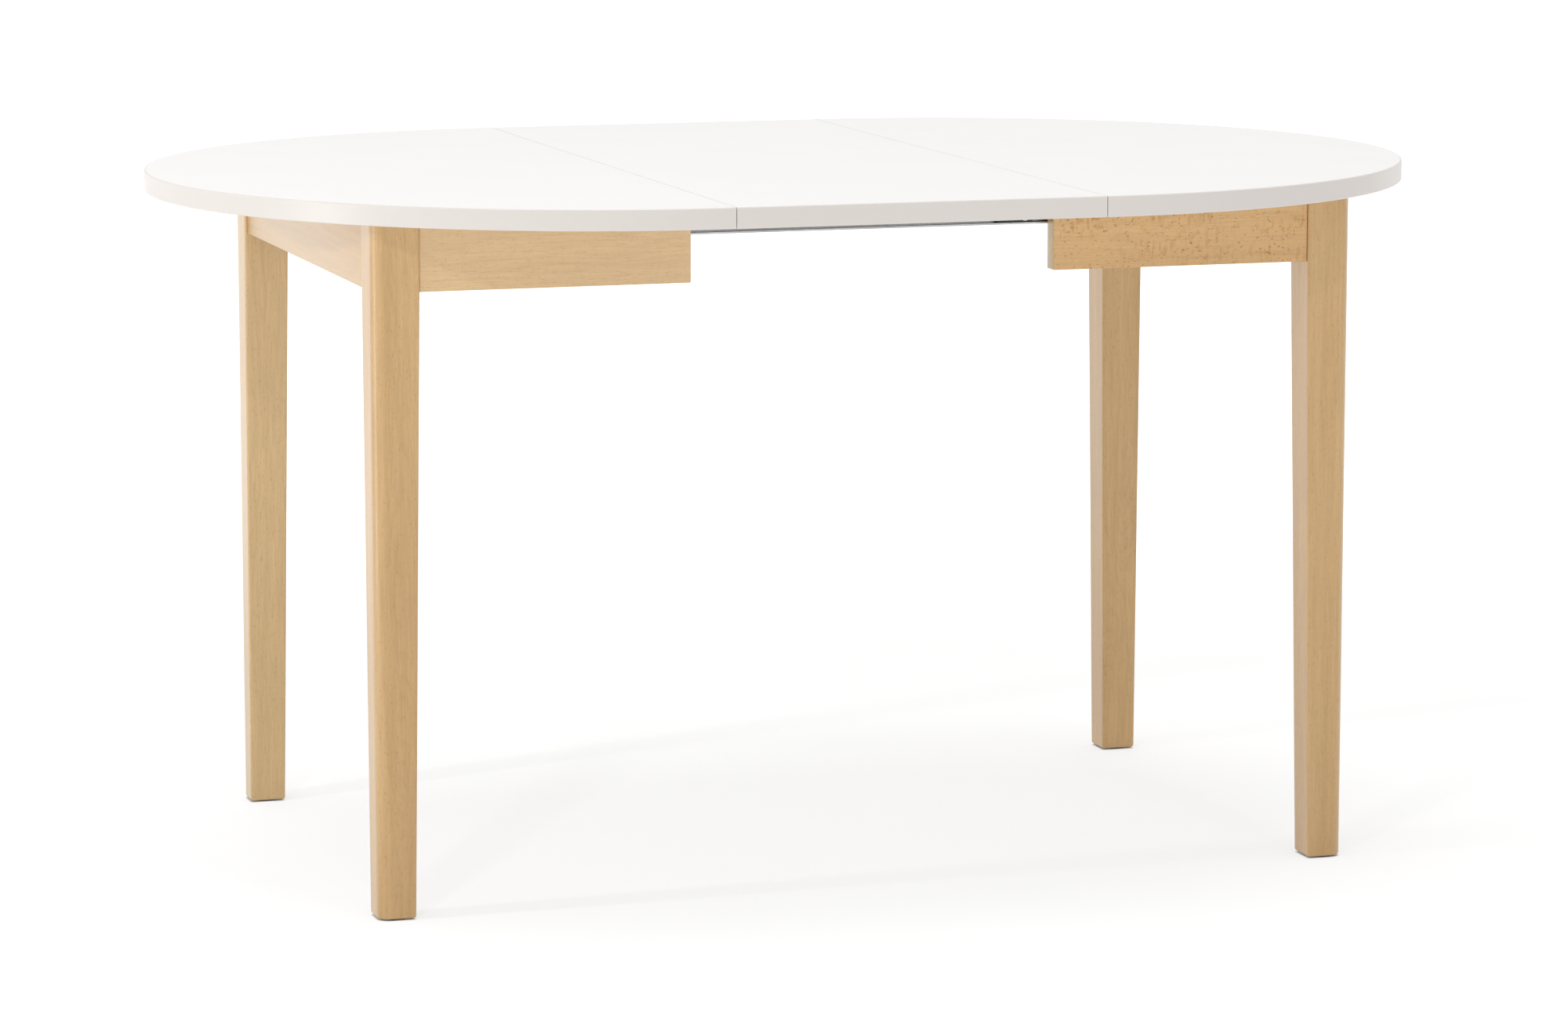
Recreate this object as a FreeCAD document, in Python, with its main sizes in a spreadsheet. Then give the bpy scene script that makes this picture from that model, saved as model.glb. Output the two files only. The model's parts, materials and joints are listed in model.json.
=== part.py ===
import FreeCAD, Part
import Sketcher
import math
import os
import re
from FreeCAD import Placement, Rotation, Vector

# Extending dining table, shown with its loose leaf in place. Millimetres.
# The origin is on the floor below the middle of the leaf. +X runs along the extension, +Y to the back, +Z up.
# Each half of the table is drawn in its own frame: x = 0 at the seam with the leaf, growing outwards.

SIZES = {
    # Table top
    "table_height": 750,
    "top_thickness": 22,
    "top_diameter": 1000,
    "leaf_length": 400,
    "seam_gap": 0.8,
    "band_thickness": 2,
    "band_bevel": 1,
    "glue_line": 0.05,
    # Legs and their glides
    "leg_reach": 340,
    "leg_width": 50,
    "foot_width": 40,
    "leg_outer_radius": 9,
    "leg_edge_radius": 2.5,
    "leg_corner_flat": 10,
    "foot_bevel": 3,
    "glide_radius": 16,
    "glide_thickness": 1.2,
    "glide_bevel": 0.5,
    "glide_pin_radius": 2,
    "glide_pin_length": 16,
    # Aprons
    "apron_height": 72,
    "apron_thickness": 20,
    "apron_set_back": 3,
    "apron_corner_radius": 1.5,
    "apron_edge_bevel": 1,
    # Corner plates with their bolts and nuts
    "plate_thickness": 2.5,
    "plate_wing": 30,
    "plate_gap": 4,
    "plate_margin": 5,
    "bolt_radius": 4,
    "bolt_in_leg": 35,
    "bolt_tail": 5,
    "bolt_lead": 4,
    "bolt_point": 2,
    "bolt_bevel": 1,
    "nut_across_flats": 13,
    "nut_height": 6.5,
    "nut_flange_radius": 8.5,
    "nut_flange_thickness": 1.5,
    # Wood screws
    "screw_radius": 2,
    "screw_head_radius": 3.5,
    "screw_head_height": 2.4,
    "screw_bite": 13,
    "screw_clearance": 0.3,
    "driven_fit": 0.05,
    "drill_run_out": 1,
    "counterbore_radius": 5,
    "top_screw_seat": 25,
    "side_screw_first": 75,
    "side_screw_pitch": 95,
    "end_screw_spacing": 300,
    "runner_screw_margin": 15,
    # Runners: a rail that slides over a channel on each half
    "rail_height": 22,
    "rail_depth": 12,
    "rail_wall": 1.2,
    "rail_lip": 0.8,
    "rail_bend": 1.6,
    "rail_stand_off": 1,
    "channel_height": 11,
    "channel_depth": 8,
    "channel_wall": 1.5,
    "channel_end_gap": 7.5,
    "shoe_length": 40,
    "shoe_slide": 0.2,
    "shoe_tail": 25,
    "button_place": 31,
    "button_radius": 7.5,
    "button_depth": 3,
    "button_proud": 0.5,
    "button_bevel": 0.4,
    "right_shoe_start": -55,
    "left_shoe_start": 60,
    "over_travel": 25,
    "stop_gap": 1,
    "stop_thickness": 2,
    "stop_height": 8,
    "stop_end": 2,
    # Leaf pads and pegs
    "pad_thickness": 2,
    "pad_length": 40,
    "pad_edge": 0.5,
    "rest_gap": 0.1,
    "peg_radius": 4,
    "peg_spacing": 200,
    "peg_depth": 12,
    "peg_drop": 7,
    "peg_taper": 2,
    "peg_clearance": 0.4,
}

# Places that several pieces share, as sums of the sizes above
UNDERSIDE = "(table_height - top_thickness)"
APRON_BOTTOM = f"({UNDERSIDE} - apron_height)"
LEG_INNER = "(leg_reach - leg_width)"
FOOT_MIDDLE = "(leg_reach - foot_width / 2)"
APRON_OUTER = "(leg_reach - apron_set_back)"
APRON_FACE = f"({APRON_OUTER} - apron_thickness)"
APRON_MIDDLE = f"({APRON_OUTER} - apron_thickness / 2)"
END_RADIUS = "(top_diameter / 2)"
PANEL_RADIUS = f"({END_RADIUS} - band_thickness - glue_line)"
LEAF_HALF = "(leaf_length / 2 - seam_gap)"
RAIL_TOP = f"({UNDERSIDE} - rest_gap - pad_thickness)"
RAIL_MIDDLE = f"({RAIL_TOP} - rail_height / 2)"
RAIL_NEAR = "rail_stand_off"
RAIL_FAR = "(rail_stand_off + rail_depth)"
PLATE_BOTTOM = f"({APRON_BOTTOM} + plate_margin)"
PLATE_TOP = f"({RAIL_TOP} - rail_height - plate_margin)"
PLATE_MIDDLE = f"(({PLATE_BOTTOM} + {PLATE_TOP}) / 2)"
FLAT_MIDDLE = f"({LEG_INNER} + leg_corner_flat / 2)"
PLATE_SUM = f"(2 * {FLAT_MIDDLE} - plate_gap * sqrt(2))"
PLATE_KNEE = f"({PLATE_SUM} - {APRON_FACE})"
WING_MIDDLE = f"({PLATE_KNEE} - plate_wing / 2)"
CHANNEL_END = f"({LEG_INNER} - channel_end_gap)"
PILOT_RADIUS = "(screw_radius + driven_fit)"
SHOE_FACE = f"({RAIL_NEAR} + rail_wall + shoe_slide)"

# Small round pieces and holes repeat often, so each has a number of flat sides in place of a full round
SCREW_SIDES = 8
BOLT_SIDES = 12
DISC_SIDES = 20
HEXAGON_SIDES = 6

UP = Vector(0, 0, 1)
ALONG = Vector(1, 0, 0)
ACROSS = Vector(0, 1, 0)
DIAGONAL_OUT = Vector(1, 1, 0)
DIAGONAL_IN = Vector(-1, -1, 0)
QUARTER_TURN = 90
HALF_TURN = 180
BACK = 1
FRONT = -1
SIDES = {"right": 0, "left": HALF_TURN}
NEAR = 0.01
# Scale of a sketch's first lines, before its constraints pull them into place
ROUGH = 10

doc = FreeCAD.newDocument("ExtendingTable")
sheet = doc.addObject("Spreadsheet::Sheet", "Sizes")
for row, (alias, value) in enumerate(SIZES.items(), start=1):
    sheet.set(f"A{row}", alias)
    sheet.set(f"B{row}", str(value))
    sheet.setAlias(f"B{row}", alias)
doc.recompute()

subparts = []


def in_sheet(text):
    """The text as an expression: each size's name gets the sheet's name before it."""
    return re.sub(r"[a-z_]+", lambda word: f"Sizes.{word[0]}" if word[0] in SIZES else word[0], str(text))


def bind(item, name, text):
    """Ties a property or constraint of an object to the sizes."""
    item.setExpression(name, in_sheet(text))


def new_body(name):
    return doc.addObject("PartDesign::Body", name)


def sketch_on(body, role, height="0"):
    """A sketch on one of the body's own planes, raised along the plane's normal."""
    sketch = body.newObject("Sketcher::SketchObject", "Outline")
    support = next(feature for feature in body.Origin.OriginFeatures if feature.Role == role)
    sketch.AttachmentSupport = (support, [""])
    sketch.MapMode = "FlatFace"
    bind(sketch, "AttachmentOffset.Base.z", height)
    return sketch


def pin_point(sketch, geometry, position, x, y):
    """Holds a point of the sketch at its two expressions, measured from the sketch's origin."""
    start = sketch.getPoint(geometry, position)
    for kind, axis, text, rough in (("DistanceX", -2, x, start.x), ("DistanceY", -1, y, start.y)):
        if text == "0":
            sketch.addConstraint(Sketcher.Constraint("PointOnObject", geometry, position, axis))
        else:
            number = sketch.addConstraint(Sketcher.Constraint(kind, -1, 1, geometry, position, rough))
            bind(sketch, f"Constraints[{number}]", text)


def draw_polygon(sketch, corners):
    """A closed outline of straight lines through the corners, drawn roughly and then pinned."""
    count = len(corners)
    step = 2 * math.pi / count
    middle = Vector(2 * ROUGH, 2 * ROUGH, 0)
    rough = [middle + Vector(math.cos(i * step), math.sin(i * step), 0) * ROUGH for i in range(count)]
    for i in range(count):
        sketch.addGeometry(Part.LineSegment(rough[i], rough[(i + 1) % count]), False)
    for i in range(count):
        sketch.addConstraint(Sketcher.Constraint("Coincident", i, 2, (i + 1) % count, 1))
    for i, (x, y) in enumerate(corners):
        pin_point(sketch, i, 1, x, y)


def draw_leg_section(sketch, outer, inner):
    """A leg's square section between two insets from its reach, with the outer corner rounded the most."""
    high = f"(leg_reach - {outer})"
    low = f"(leg_reach - {inner})"
    corners = [(low, low, "leg_edge_radius"), (high, low, "leg_edge_radius"),
               (high, high, "leg_outer_radius"), (low, high, "leg_edge_radius")]
    near, far = ROUGH, 5 * ROUGH
    rough = [(near, near), (far, near), (far, far), (near, far)]
    quarter = math.pi / 2
    for i, (x, y) in enumerate(rough):
        circle = Part.Circle(Vector(x, y, 0), UP, ROUGH / 2)
        start = math.pi + i * quarter
        sketch.addGeometry(Part.ArcOfCircle(circle, start, start + quarter), False)
    for i in range(4):
        sketch.addGeometry(Part.LineSegment(sketch.getPoint(i, 2), sketch.getPoint((i + 1) % 4, 1)), False)
    for i, (x, y, radius) in enumerate(corners):
        toward_x = "-" if x == high else "+"
        toward_y = "-" if y == high else "+"
        first, second = ("Horizontal", "Vertical") if i % 2 == 0 else ("Vertical", "Horizontal")
        sketch.addConstraint(Sketcher.Constraint("Coincident", i, 2, 4 + i, 1))
        sketch.addConstraint(Sketcher.Constraint("Coincident", 4 + i, 2, (i + 1) % 4, 1))
        sketch.addConstraint(Sketcher.Constraint(first, i, 1, i, 3))
        sketch.addConstraint(Sketcher.Constraint(second, i, 2, i, 3))
        number = sketch.addConstraint(Sketcher.Constraint("Radius", i, ROUGH / 2))
        bind(sketch, f"Constraints[{number}]", radius)
        pin_point(sketch, i, 3, f"{x} {toward_x} {radius}", f"{y} {toward_y} {radius}")


def draw_half_disc(sketch, radius):
    """A half disc on the positive x side, closed by its diameter along y."""
    arc = Part.ArcOfCircle(Part.Circle(Vector(0, 0, 0), UP, ROUGH), -math.pi / 2, math.pi / 2)
    sketch.addGeometry(arc, False)
    sketch.addGeometry(Part.LineSegment(Vector(0, ROUGH, 0), Vector(0, -ROUGH, 0)), False)
    sketch.addConstraint(Sketcher.Constraint("Coincident", 0, 2, 1, 1))
    sketch.addConstraint(Sketcher.Constraint("Coincident", 1, 2, 0, 1))
    sketch.addConstraint(Sketcher.Constraint("Coincident", 0, 3, -1, 1))
    sketch.addConstraint(Sketcher.Constraint("PointOnObject", 0, 1, -2))
    sketch.addConstraint(Sketcher.Constraint("PointOnObject", 0, 2, -2))
    number = sketch.addConstraint(Sketcher.Constraint("Radius", 0, ROUGH))
    bind(sketch, f"Constraints[{number}]", radius)


def pad(body, sketch, length):
    feature = body.newObject("PartDesign::Pad", "Pad")
    feature.Profile = sketch
    bind(feature, "Length", length)
    return feature


def edges_where(feature, test):
    """Names of the edges that pass a test of the edge, its middle point and the feature's box."""
    doc.recompute()
    box = feature.Shape.BoundBox
    edges = enumerate(feature.Shape.Edges, start=1)
    return [f"Edge{number}" for number, edge in edges if test(edge, edge.CenterOfMass, box)]


def round_edges(body, feature, radius, test):
    names = edges_where(feature, test)
    fillet = body.newObject("PartDesign::Fillet", "Rounding")
    fillet.Base = (feature, names)
    bind(fillet, "Radius", radius)
    return fillet


def bevel_edges(body, feature, size, test):
    names = edges_where(feature, test)
    bevel = body.newObject("PartDesign::Chamfer", "Bevel")
    bevel.Base = (feature, names)
    bind(bevel, "Size", size)
    return bevel


def ring(sides, radius, height):
    """A regular polygon about z, with its corners at the radius."""
    polygon = doc.addObject("Part::RegularPolygon", "Ring")
    polygon.Polygon = sides
    bind(polygon, "Circumradius", radius)
    bind(polygon, "Placement.Base.z", height)
    return polygon


def turned(sides, rings):
    """A small turned piece about z with flat sides, through its (radius, height) rings."""
    loft = doc.addObject("Part::Loft", "Turned")
    loft.Sections = [ring(sides, radius, height) for radius, height in rings]
    loft.Solid = True
    loft.Ruled = True
    return loft


def prism(sides, radius, length, base="0"):
    """A straight piece about z with flat sides, standing on its base height."""
    item = doc.addObject("Part::Prism", "Prism")
    item.Polygon = sides
    bind(item, "Circumradius", radius)
    bind(item, "Height", length)
    bind(item, "Placement.Base.z", base)
    return item


def fused(base, tool):
    whole = doc.addObject("Part::Fuse", "Whole")
    whole.Base = base
    whole.Tool = tool
    return whole


def stand_at(item, place, direction=UP):
    """Turns an object's z axis along the direction and moves its origin to the place."""
    item.Placement = Placement(Vector(), Rotation(UP, direction))
    for axis, text in zip("xyz", place):
        bind(item, f"Placement.Base.{axis}", text)
    return item


def drill(sides, radius, length, place, direction=UP):
    """A hole's tool that starts at the place and runs along the direction."""
    return stand_at(prism(sides, radius, length), place, direction)


def cut(item, tools):
    """The object with its drilled holes."""
    group = doc.addObject("Part::Compound", "Drills")
    group.Links = tools
    result = doc.addObject("Part::Cut", "Drilled")
    result.Base = item
    result.Tool = group
    return result


def compound(items):
    group = doc.addObject("Part::Compound", "Group")
    group.Links = items
    return group


def finish(item, label, x="0", turn=0):
    """Names a sub-part and puts it in the table: turned about z, then moved along x."""
    item.Label = label
    item.Placement = Placement(Vector(), Rotation(UP, turn))
    bind(item, "Placement.Base.x", x)
    subparts.append(item)


def finish_in_half(item, label, side, turn=0):
    """Puts a sub-part drawn in a half's frame on that side of the table."""
    sign = "-" if side == "left" else ""
    finish(item, label, f"{sign}leaf_length / 2", SIDES[side] + turn)


def row_name(side, row):
    """Front or back in the finished table: the left half is drawn turned round."""
    return "back" if (row == BACK) == (side == "right") else "front"


def from_apron(row, depth):
    """The y of a point that lies some depth inside the side apron's inner face."""
    return f"{row} * ({APRON_FACE} - ({depth}))"


def screw(place, direction, bite):
    """A pan head wood screw: the seat of its head is at the place, and its shank runs along the direction."""
    head = prism(SCREW_SIDES, "screw_head_radius", "screw_head_height", "-screw_head_height")
    shank = prism(SCREW_SIDES, "screw_radius", bite)
    return stand_at(fused(head, shank), place, direction)


def pilot(place, direction=UP):
    """The hole that a wood screw is driven into."""
    return drill(SCREW_SIDES, PILOT_RADIUS, "screw_bite", place, direction)


def corner_turn(row):
    """Corner pieces are alike about their diagonal, so a quarter turn takes the back corner to the front."""
    return 0 if row == BACK else -QUARTER_TURN


# Where each half is screwed: places in the half's frame

def top_screw_places():
    """Two along each side apron and two along the end apron."""
    places = []
    for row in (BACK, FRONT):
        places.append(("side_screw_first", f"{row} * {APRON_MIDDLE}"))
        places.append(("side_screw_first + side_screw_pitch", f"{row} * {APRON_MIDDLE}"))
        places.append((APRON_MIDDLE, f"{row} * end_screw_spacing / 2"))
    return places


def channel_start(side):
    return f"({side}_shoe_start + shoe_length)"


def runner_screw_places(side):
    """Three along the channel: clear of the shoe's tail, in the middle, and near the leg."""
    first = f"({channel_start(side)} + shoe_tail + runner_screw_margin)"
    last = f"({CHANNEL_END} - runner_screw_margin)"
    return [first, f"(({first} + {last}) / 2)", last]


# Table top: laminated board with a solid edge band, and the leaf made the same way

def make_top_panel(side):
    body = new_body("TopPanel")
    sketch = sketch_on(body, "XY_Plane", UNDERSIDE)
    draw_half_disc(sketch, PANEL_RADIUS)
    pad(body, sketch, "top_thickness")
    pilots = [pilot((x, y, UNDERSIDE)) for x, y in top_screw_places()]
    finish_in_half(cut(body, pilots), f"{side}_top", side)


def make_top_band(side):
    body = new_body("TopBand")
    rim = sketch_on(body, "XY_Plane", UNDERSIDE)
    draw_half_disc(rim, END_RADIUS)
    disc = pad(body, rim, "top_thickness")
    bevelled = bevel_edges(body, disc, "band_bevel",
                           lambda edge, middle, box: isinstance(edge.Curve, Part.Circle))
    core = sketch_on(body, "XY_Plane", f"{UNDERSIDE} + top_thickness")
    draw_half_disc(core, f"{PANEL_RADIUS} + glue_line")
    pocket = body.newObject("PartDesign::Pocket", "Core")
    pocket.Profile = core
    bind(pocket, "Length", "top_thickness")
    doc.recompute()
    assert pocket.Shape.Volume < bevelled.Shape.Volume
    finish_in_half(body, f"{side}_edge_band", side)


def peg_places():
    """Two over each rail, in the middle of its width."""
    depth = f"({RAIL_NEAR} + rail_depth / 2)"
    ends = ("peg_spacing / 2", "-peg_spacing / 2")
    return [(x, from_apron(row, depth)) for x in ends for row in (BACK, FRONT)]


def is_outer_and_level(edge, middle, box):
    """True for the long edges of a leaf band's outer face."""
    from_outer = max(abs(box.YMin), abs(box.YMax)) - abs(middle.y)
    rise = abs(edge.Vertexes[0].Z - edge.Vertexes[-1].Z)
    return from_outer < NEAR and rise < NEAR


def make_leaf():
    body = new_body("LeafPanel")
    sketch = sketch_on(body, "XY_Plane", UNDERSIDE)
    draw_polygon(sketch, [(f"{x} * {LEAF_HALF}", f"{y} * {PANEL_RADIUS}")
                          for x, y in ((-1, -1), (1, -1), (1, 1), (-1, 1))])
    pad(body, sketch, "top_thickness")
    sockets = [drill(BOLT_SIDES, "peg_radius + driven_fit", "peg_depth", (x, y, UNDERSIDE))
               for x, y in peg_places()]
    finish(cut(body, sockets), "leaf_panel")

    for row, name in ((BACK, "back"), (FRONT, "front")):
        band = new_body("LeafBand")
        sketch = sketch_on(band, "XY_Plane", UNDERSIDE)
        inner = f"{row} * ({PANEL_RADIUS} + glue_line)"
        outer = f"{row} * {END_RADIUS}"
        draw_polygon(sketch, [(f"-{LEAF_HALF}", inner), (LEAF_HALF, inner), (LEAF_HALF, outer),
                              (f"-{LEAF_HALF}", outer)])
        strip = pad(band, sketch, "top_thickness")
        bevel_edges(band, strip, "band_bevel", is_outer_and_level)
        finish(band, f"leaf_{name}_band")

    pegs = []
    for x, y in peg_places():
        peg = turned(BOLT_SIDES, [
            ("peg_radius - peg_taper", "-peg_drop"),
            ("peg_radius", "peg_taper - peg_drop"),
            ("peg_radius", "peg_depth"),
        ])
        pegs.append(stand_at(peg, (x, y, UNDERSIDE)))
    finish(compound(pegs), "leaf_pegs")


# Legs: straight where the aprons meet them, tapered on the two inner faces below, bevelled at the sole

def make_leg(side, row):
    body = new_body("Leg")
    sole = sketch_on(body, "XY_Plane", "glide_thickness")
    draw_leg_section(sole, "foot_bevel", "(foot_width - foot_bevel)")
    foot = sketch_on(body, "XY_Plane", "glide_thickness + foot_bevel")
    draw_leg_section(foot, "0", "foot_width")
    knee = sketch_on(body, "XY_Plane", APRON_BOTTOM)
    draw_leg_section(knee, "0", "leg_width")
    taper = body.newObject("PartDesign::AdditiveLoft", "Taper")
    taper.Profile = sole
    taper.Sections = [foot, knee]
    taper.Ruled = True
    block = pad(body, knee, "apron_height")
    corner = sketch_on(body, "XY_Plane", UNDERSIDE)
    draw_polygon(corner, [(LEG_INNER, LEG_INNER), (f"{LEG_INNER} + leg_corner_flat", LEG_INNER),
                          (LEG_INNER, f"{LEG_INNER} + leg_corner_flat")])
    flat = body.newObject("PartDesign::Pocket", "CornerFlat")
    flat.Profile = corner
    bind(flat, "Length", "apron_height")
    doc.recompute()
    assert flat.Shape.Volume < block.Shape.Volume
    bolt_place = (FLAT_MIDDLE, FLAT_MIDDLE, PLATE_MIDDLE)
    pin_place = (FOOT_MIDDLE, FOOT_MIDDLE, "glide_thickness")
    holes = [
        drill(BOLT_SIDES, "bolt_radius + driven_fit", "bolt_in_leg", bolt_place, DIAGONAL_OUT),
        drill(SCREW_SIDES, "glide_pin_radius + driven_fit", "glide_pin_length", pin_place),
    ]
    finish_in_half(cut(body, holes), f"{row_name(side, row)}_{side}_leg", side, corner_turn(row))


def make_glide(side, row):
    disc = turned(DISC_SIDES, [
        ("glide_radius - glide_bevel", "0"),
        ("glide_radius", "glide_bevel"),
        ("glide_radius", "glide_thickness"),
    ])
    pin = prism(SCREW_SIDES, "glide_pin_radius", "glide_pin_length", "glide_thickness")
    glide = stand_at(fused(disc, pin), (FOOT_MIDDLE, FOOT_MIDDLE, "0"))
    finish_in_half(compound([glide]), f"{row_name(side, row)}_{side}_glide", side, corner_turn(row))


# Aprons: boards between the legs, drilled from below for the screws that hold the top

def counterbored(places):
    """A wide hole from below for the screw's head, and a narrow one from its seat up."""
    depth = "apron_height - top_screw_seat"
    seat = f"{UNDERSIDE} - top_screw_seat"
    tools = []
    for x, y in places:
        tools.append(drill(BOLT_SIDES, "counterbore_radius", depth, (x, y, APRON_BOTTOM)))
        tools.append(drill(SCREW_SIDES, "screw_radius + screw_clearance", "top_screw_seat", (x, y, seat)))
    return tools


def ease_long_edges(body, board, along):
    """Takes the sharpness off the two lower edges that run along the board."""
    def is_long_and_low(edge, middle, box):
        ends = [vertex.Point.dot(along) for vertex in edge.Vertexes]
        length = abs(box.XLength * along.x + box.YLength * along.y)
        return middle.z < box.ZMin + NEAR and max(ends) - min(ends) > length / 2

    bevel_edges(body, board, "apron_edge_bevel", is_long_and_low)


def make_end_apron(side):
    body = new_body("EndApron")
    sketch = sketch_on(body, "XY_Plane", APRON_BOTTOM)
    draw_polygon(sketch, [(APRON_FACE, f"-{LEG_INNER}"), (APRON_OUTER, f"-{LEG_INNER}"),
                          (APRON_OUTER, LEG_INNER), (APRON_FACE, LEG_INNER)])
    board = pad(body, sketch, "apron_height")
    ease_long_edges(body, board, ACROSS)
    places = [place for place in top_screw_places() if place[0] == APRON_MIDDLE]
    pilots = [pilot((APRON_FACE, f"{row} * {WING_MIDDLE}", PLATE_MIDDLE), ALONG) for row in (BACK, FRONT)]
    finish_in_half(cut(body, counterbored(places) + pilots), f"{side}_end_apron", side)


def make_side_apron(side, row):
    body = new_body("SideApron")
    sketch = sketch_on(body, "XY_Plane", APRON_BOTTOM)
    inner = f"{row} * {APRON_FACE}"
    outer = f"{row} * {APRON_OUTER}"
    draw_polygon(sketch, [("0", inner), (LEG_INNER, inner), (LEG_INNER, outer), ("0", outer)])
    board = pad(body, sketch, "apron_height")
    free_corner = round_edges(body, board, "apron_corner_radius", lambda edge, middle, box: (
        middle.z < box.ZMin + NEAR and middle.x < box.XMin + NEAR))
    ease_long_edges(body, free_corner, ALONG)
    places = [place for place in top_screw_places() if place[1] == f"{row} * {APRON_MIDDLE}"]
    pilots = [pilot((x, inner, RAIL_MIDDLE), ACROSS * row) for x in runner_screw_places(side)]
    pilots.append(pilot((WING_MIDDLE, inner, PLATE_MIDDLE), ACROSS * row))
    finish_in_half(cut(body, counterbored(places) + pilots), f"{row_name(side, row)}_{side}_apron", side)


def make_top_screws(side):
    screws = [screw((x, y, f"{UNDERSIDE} - top_screw_seat"), UP, "(top_screw_seat + screw_bite)")
              for x, y in top_screw_places()]
    finish_in_half(compound(screws), f"{side}_top_screws", side)


# Corner plates: bent strip across each corner, pulled against the leg by a hanger bolt and its nut

def make_corner_plate(side, row):
    body = new_body("CornerPlate")
    sketch = sketch_on(body, "XY_Plane", PLATE_BOTTOM)
    inner_face = f"({APRON_FACE} - plate_thickness)"
    inner_knee = f"({PLATE_SUM} - plate_thickness * sqrt(2) - {inner_face})"
    wing_end = f"({PLATE_KNEE} - plate_wing)"
    draw_polygon(sketch, [
        (wing_end, APRON_FACE), (wing_end, inner_face), (inner_knee, inner_face), (inner_face, inner_knee),
        (inner_face, wing_end), (APRON_FACE, wing_end), (APRON_FACE, PLATE_KNEE), (PLATE_KNEE, APRON_FACE),
    ])
    pad(body, sketch, f"{PLATE_TOP} - {PLATE_BOTTOM}")
    through = "plate_thickness + 2 * drill_run_out"
    before = f"({inner_face} - drill_run_out)"
    bolt_place = (FLAT_MIDDLE, FLAT_MIDDLE, PLATE_MIDDLE)
    bolt_through = "plate_gap + plate_thickness + drill_run_out"
    screw_hole = "screw_radius + screw_clearance"
    holes = [
        drill(BOLT_SIDES, "bolt_radius + screw_clearance", bolt_through, bolt_place, DIAGONAL_IN),
        drill(SCREW_SIDES, screw_hole, through, (WING_MIDDLE, before, PLATE_MIDDLE), ACROSS),
        drill(SCREW_SIDES, screw_hole, through, (before, WING_MIDDLE, PLATE_MIDDLE), ALONG),
    ]
    finish_in_half(cut(body, holes), f"{row_name(side, row)}_{side}_corner_plate", side, corner_turn(row))


def along_diagonal(distance):
    """The x and y of a point on the corner's diagonal, some distance in from the leg's flat."""
    return f"({FLAT_MIDDLE} - ({distance}) / sqrt(2))"


def in_corners(make):
    """One piece in each of a half's two corners, as a group."""
    items = []
    for row in (BACK, FRONT):
        item = compound(make())
        item.Placement = Placement(Vector(), Rotation(UP, corner_turn(row)))
        items.append(item)
    return compound(items)


def hanger_bolt():
    outside = "(plate_gap + plate_thickness + nut_flange_thickness + nut_height + bolt_tail)"
    bolt = turned(BOLT_SIDES, [
        ("bolt_radius - bolt_point", "-bolt_in_leg"),
        ("bolt_radius", "bolt_lead - bolt_in_leg"),
        ("bolt_radius", f"{outside} - bolt_bevel"),
        ("bolt_radius - bolt_bevel", outside),
    ])
    return [stand_at(bolt, (FLAT_MIDDLE, FLAT_MIDDLE, PLATE_MIDDLE), DIAGONAL_IN)]


def flange_nut():
    flange = prism(BOLT_SIDES, "nut_flange_radius", "nut_flange_thickness")
    hexagon = prism(HEXAGON_SIDES, "nut_across_flats / sqrt(3)", "nut_height", "nut_flange_thickness")
    bore = prism(BOLT_SIDES, "bolt_radius + driven_fit", "nut_flange_thickness + nut_height")
    seat = along_diagonal("plate_gap + plate_thickness")
    return [stand_at(cut(fused(flange, hexagon), [bore]), (seat, seat, PLATE_MIDDLE), DIAGONAL_IN)]


def plate_screws():
    seat = f"({APRON_FACE} - plate_thickness)"
    bite = "(plate_thickness + screw_bite)"
    return [screw((WING_MIDDLE, seat, PLATE_MIDDLE), ACROSS, bite),
            screw((seat, WING_MIDDLE, PLATE_MIDDLE), ALONG, bite)]


def make_corner_fasteners(side):
    finish_in_half(in_corners(hanger_bolt), f"{side}_hanger_bolts", side)
    finish_in_half(in_corners(flange_nut), f"{side}_leg_nuts", side)
    finish_in_half(in_corners(plate_screws), f"{side}_plate_screws", side)


# Runners: on each side apron a channel with a plastic shoe, and one steel rail that slides over both shoes

def draw_across(sketch, row, outline):
    """Draws an outline of (depth from the apron, height from the rail's middle) in the YZ plane."""
    corners = [(from_apron(row, depth), f"{RAIL_MIDDLE} + ({height})") for depth, height in outline]
    draw_polygon(sketch, corners)


def rectangle(near, far, half_height):
    return [(near, f"-{half_height}"), (far, f"-{half_height}"), (far, half_height), (near, half_height)]


def make_channel(side, row):
    body = new_body("Channel")
    sketch = sketch_on(body, "YZ_Plane", channel_start(side))
    half = "channel_height / 2"
    inside = "(channel_height / 2 - channel_wall)"
    draw_across(sketch, row, [
        ("0", f"-{half}"), ("channel_depth", f"-{half}"), ("channel_depth", f"-{inside}"),
        ("channel_wall", f"-{inside}"), ("channel_wall", inside), ("channel_depth", inside),
        ("channel_depth", half), ("0", half),
    ])
    pad(body, sketch, f"{CHANNEL_END} - {channel_start(side)}")
    before = from_apron(row, "channel_wall + drill_run_out")
    through = "channel_wall + 2 * drill_run_out"
    screw_hole = "screw_radius + screw_clearance"
    holes = [drill(SCREW_SIDES, screw_hole, through, (x, before, RAIL_MIDDLE), ACROSS * row)
             for x in runner_screw_places(side)]
    finish_in_half(cut(body, holes), f"{row_name(side, row)}_{side}_channel", side)


def make_runner_screws(side):
    screws = []
    for row in (BACK, FRONT):
        seat = from_apron(row, "channel_wall")
        for x in runner_screw_places(side):
            screws.append(screw((x, seat, RAIL_MIDDLE), ACROSS * row, "(channel_wall + screw_bite)"))
    finish_in_half(compound(screws), f"{side}_runner_screws", side)


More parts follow.
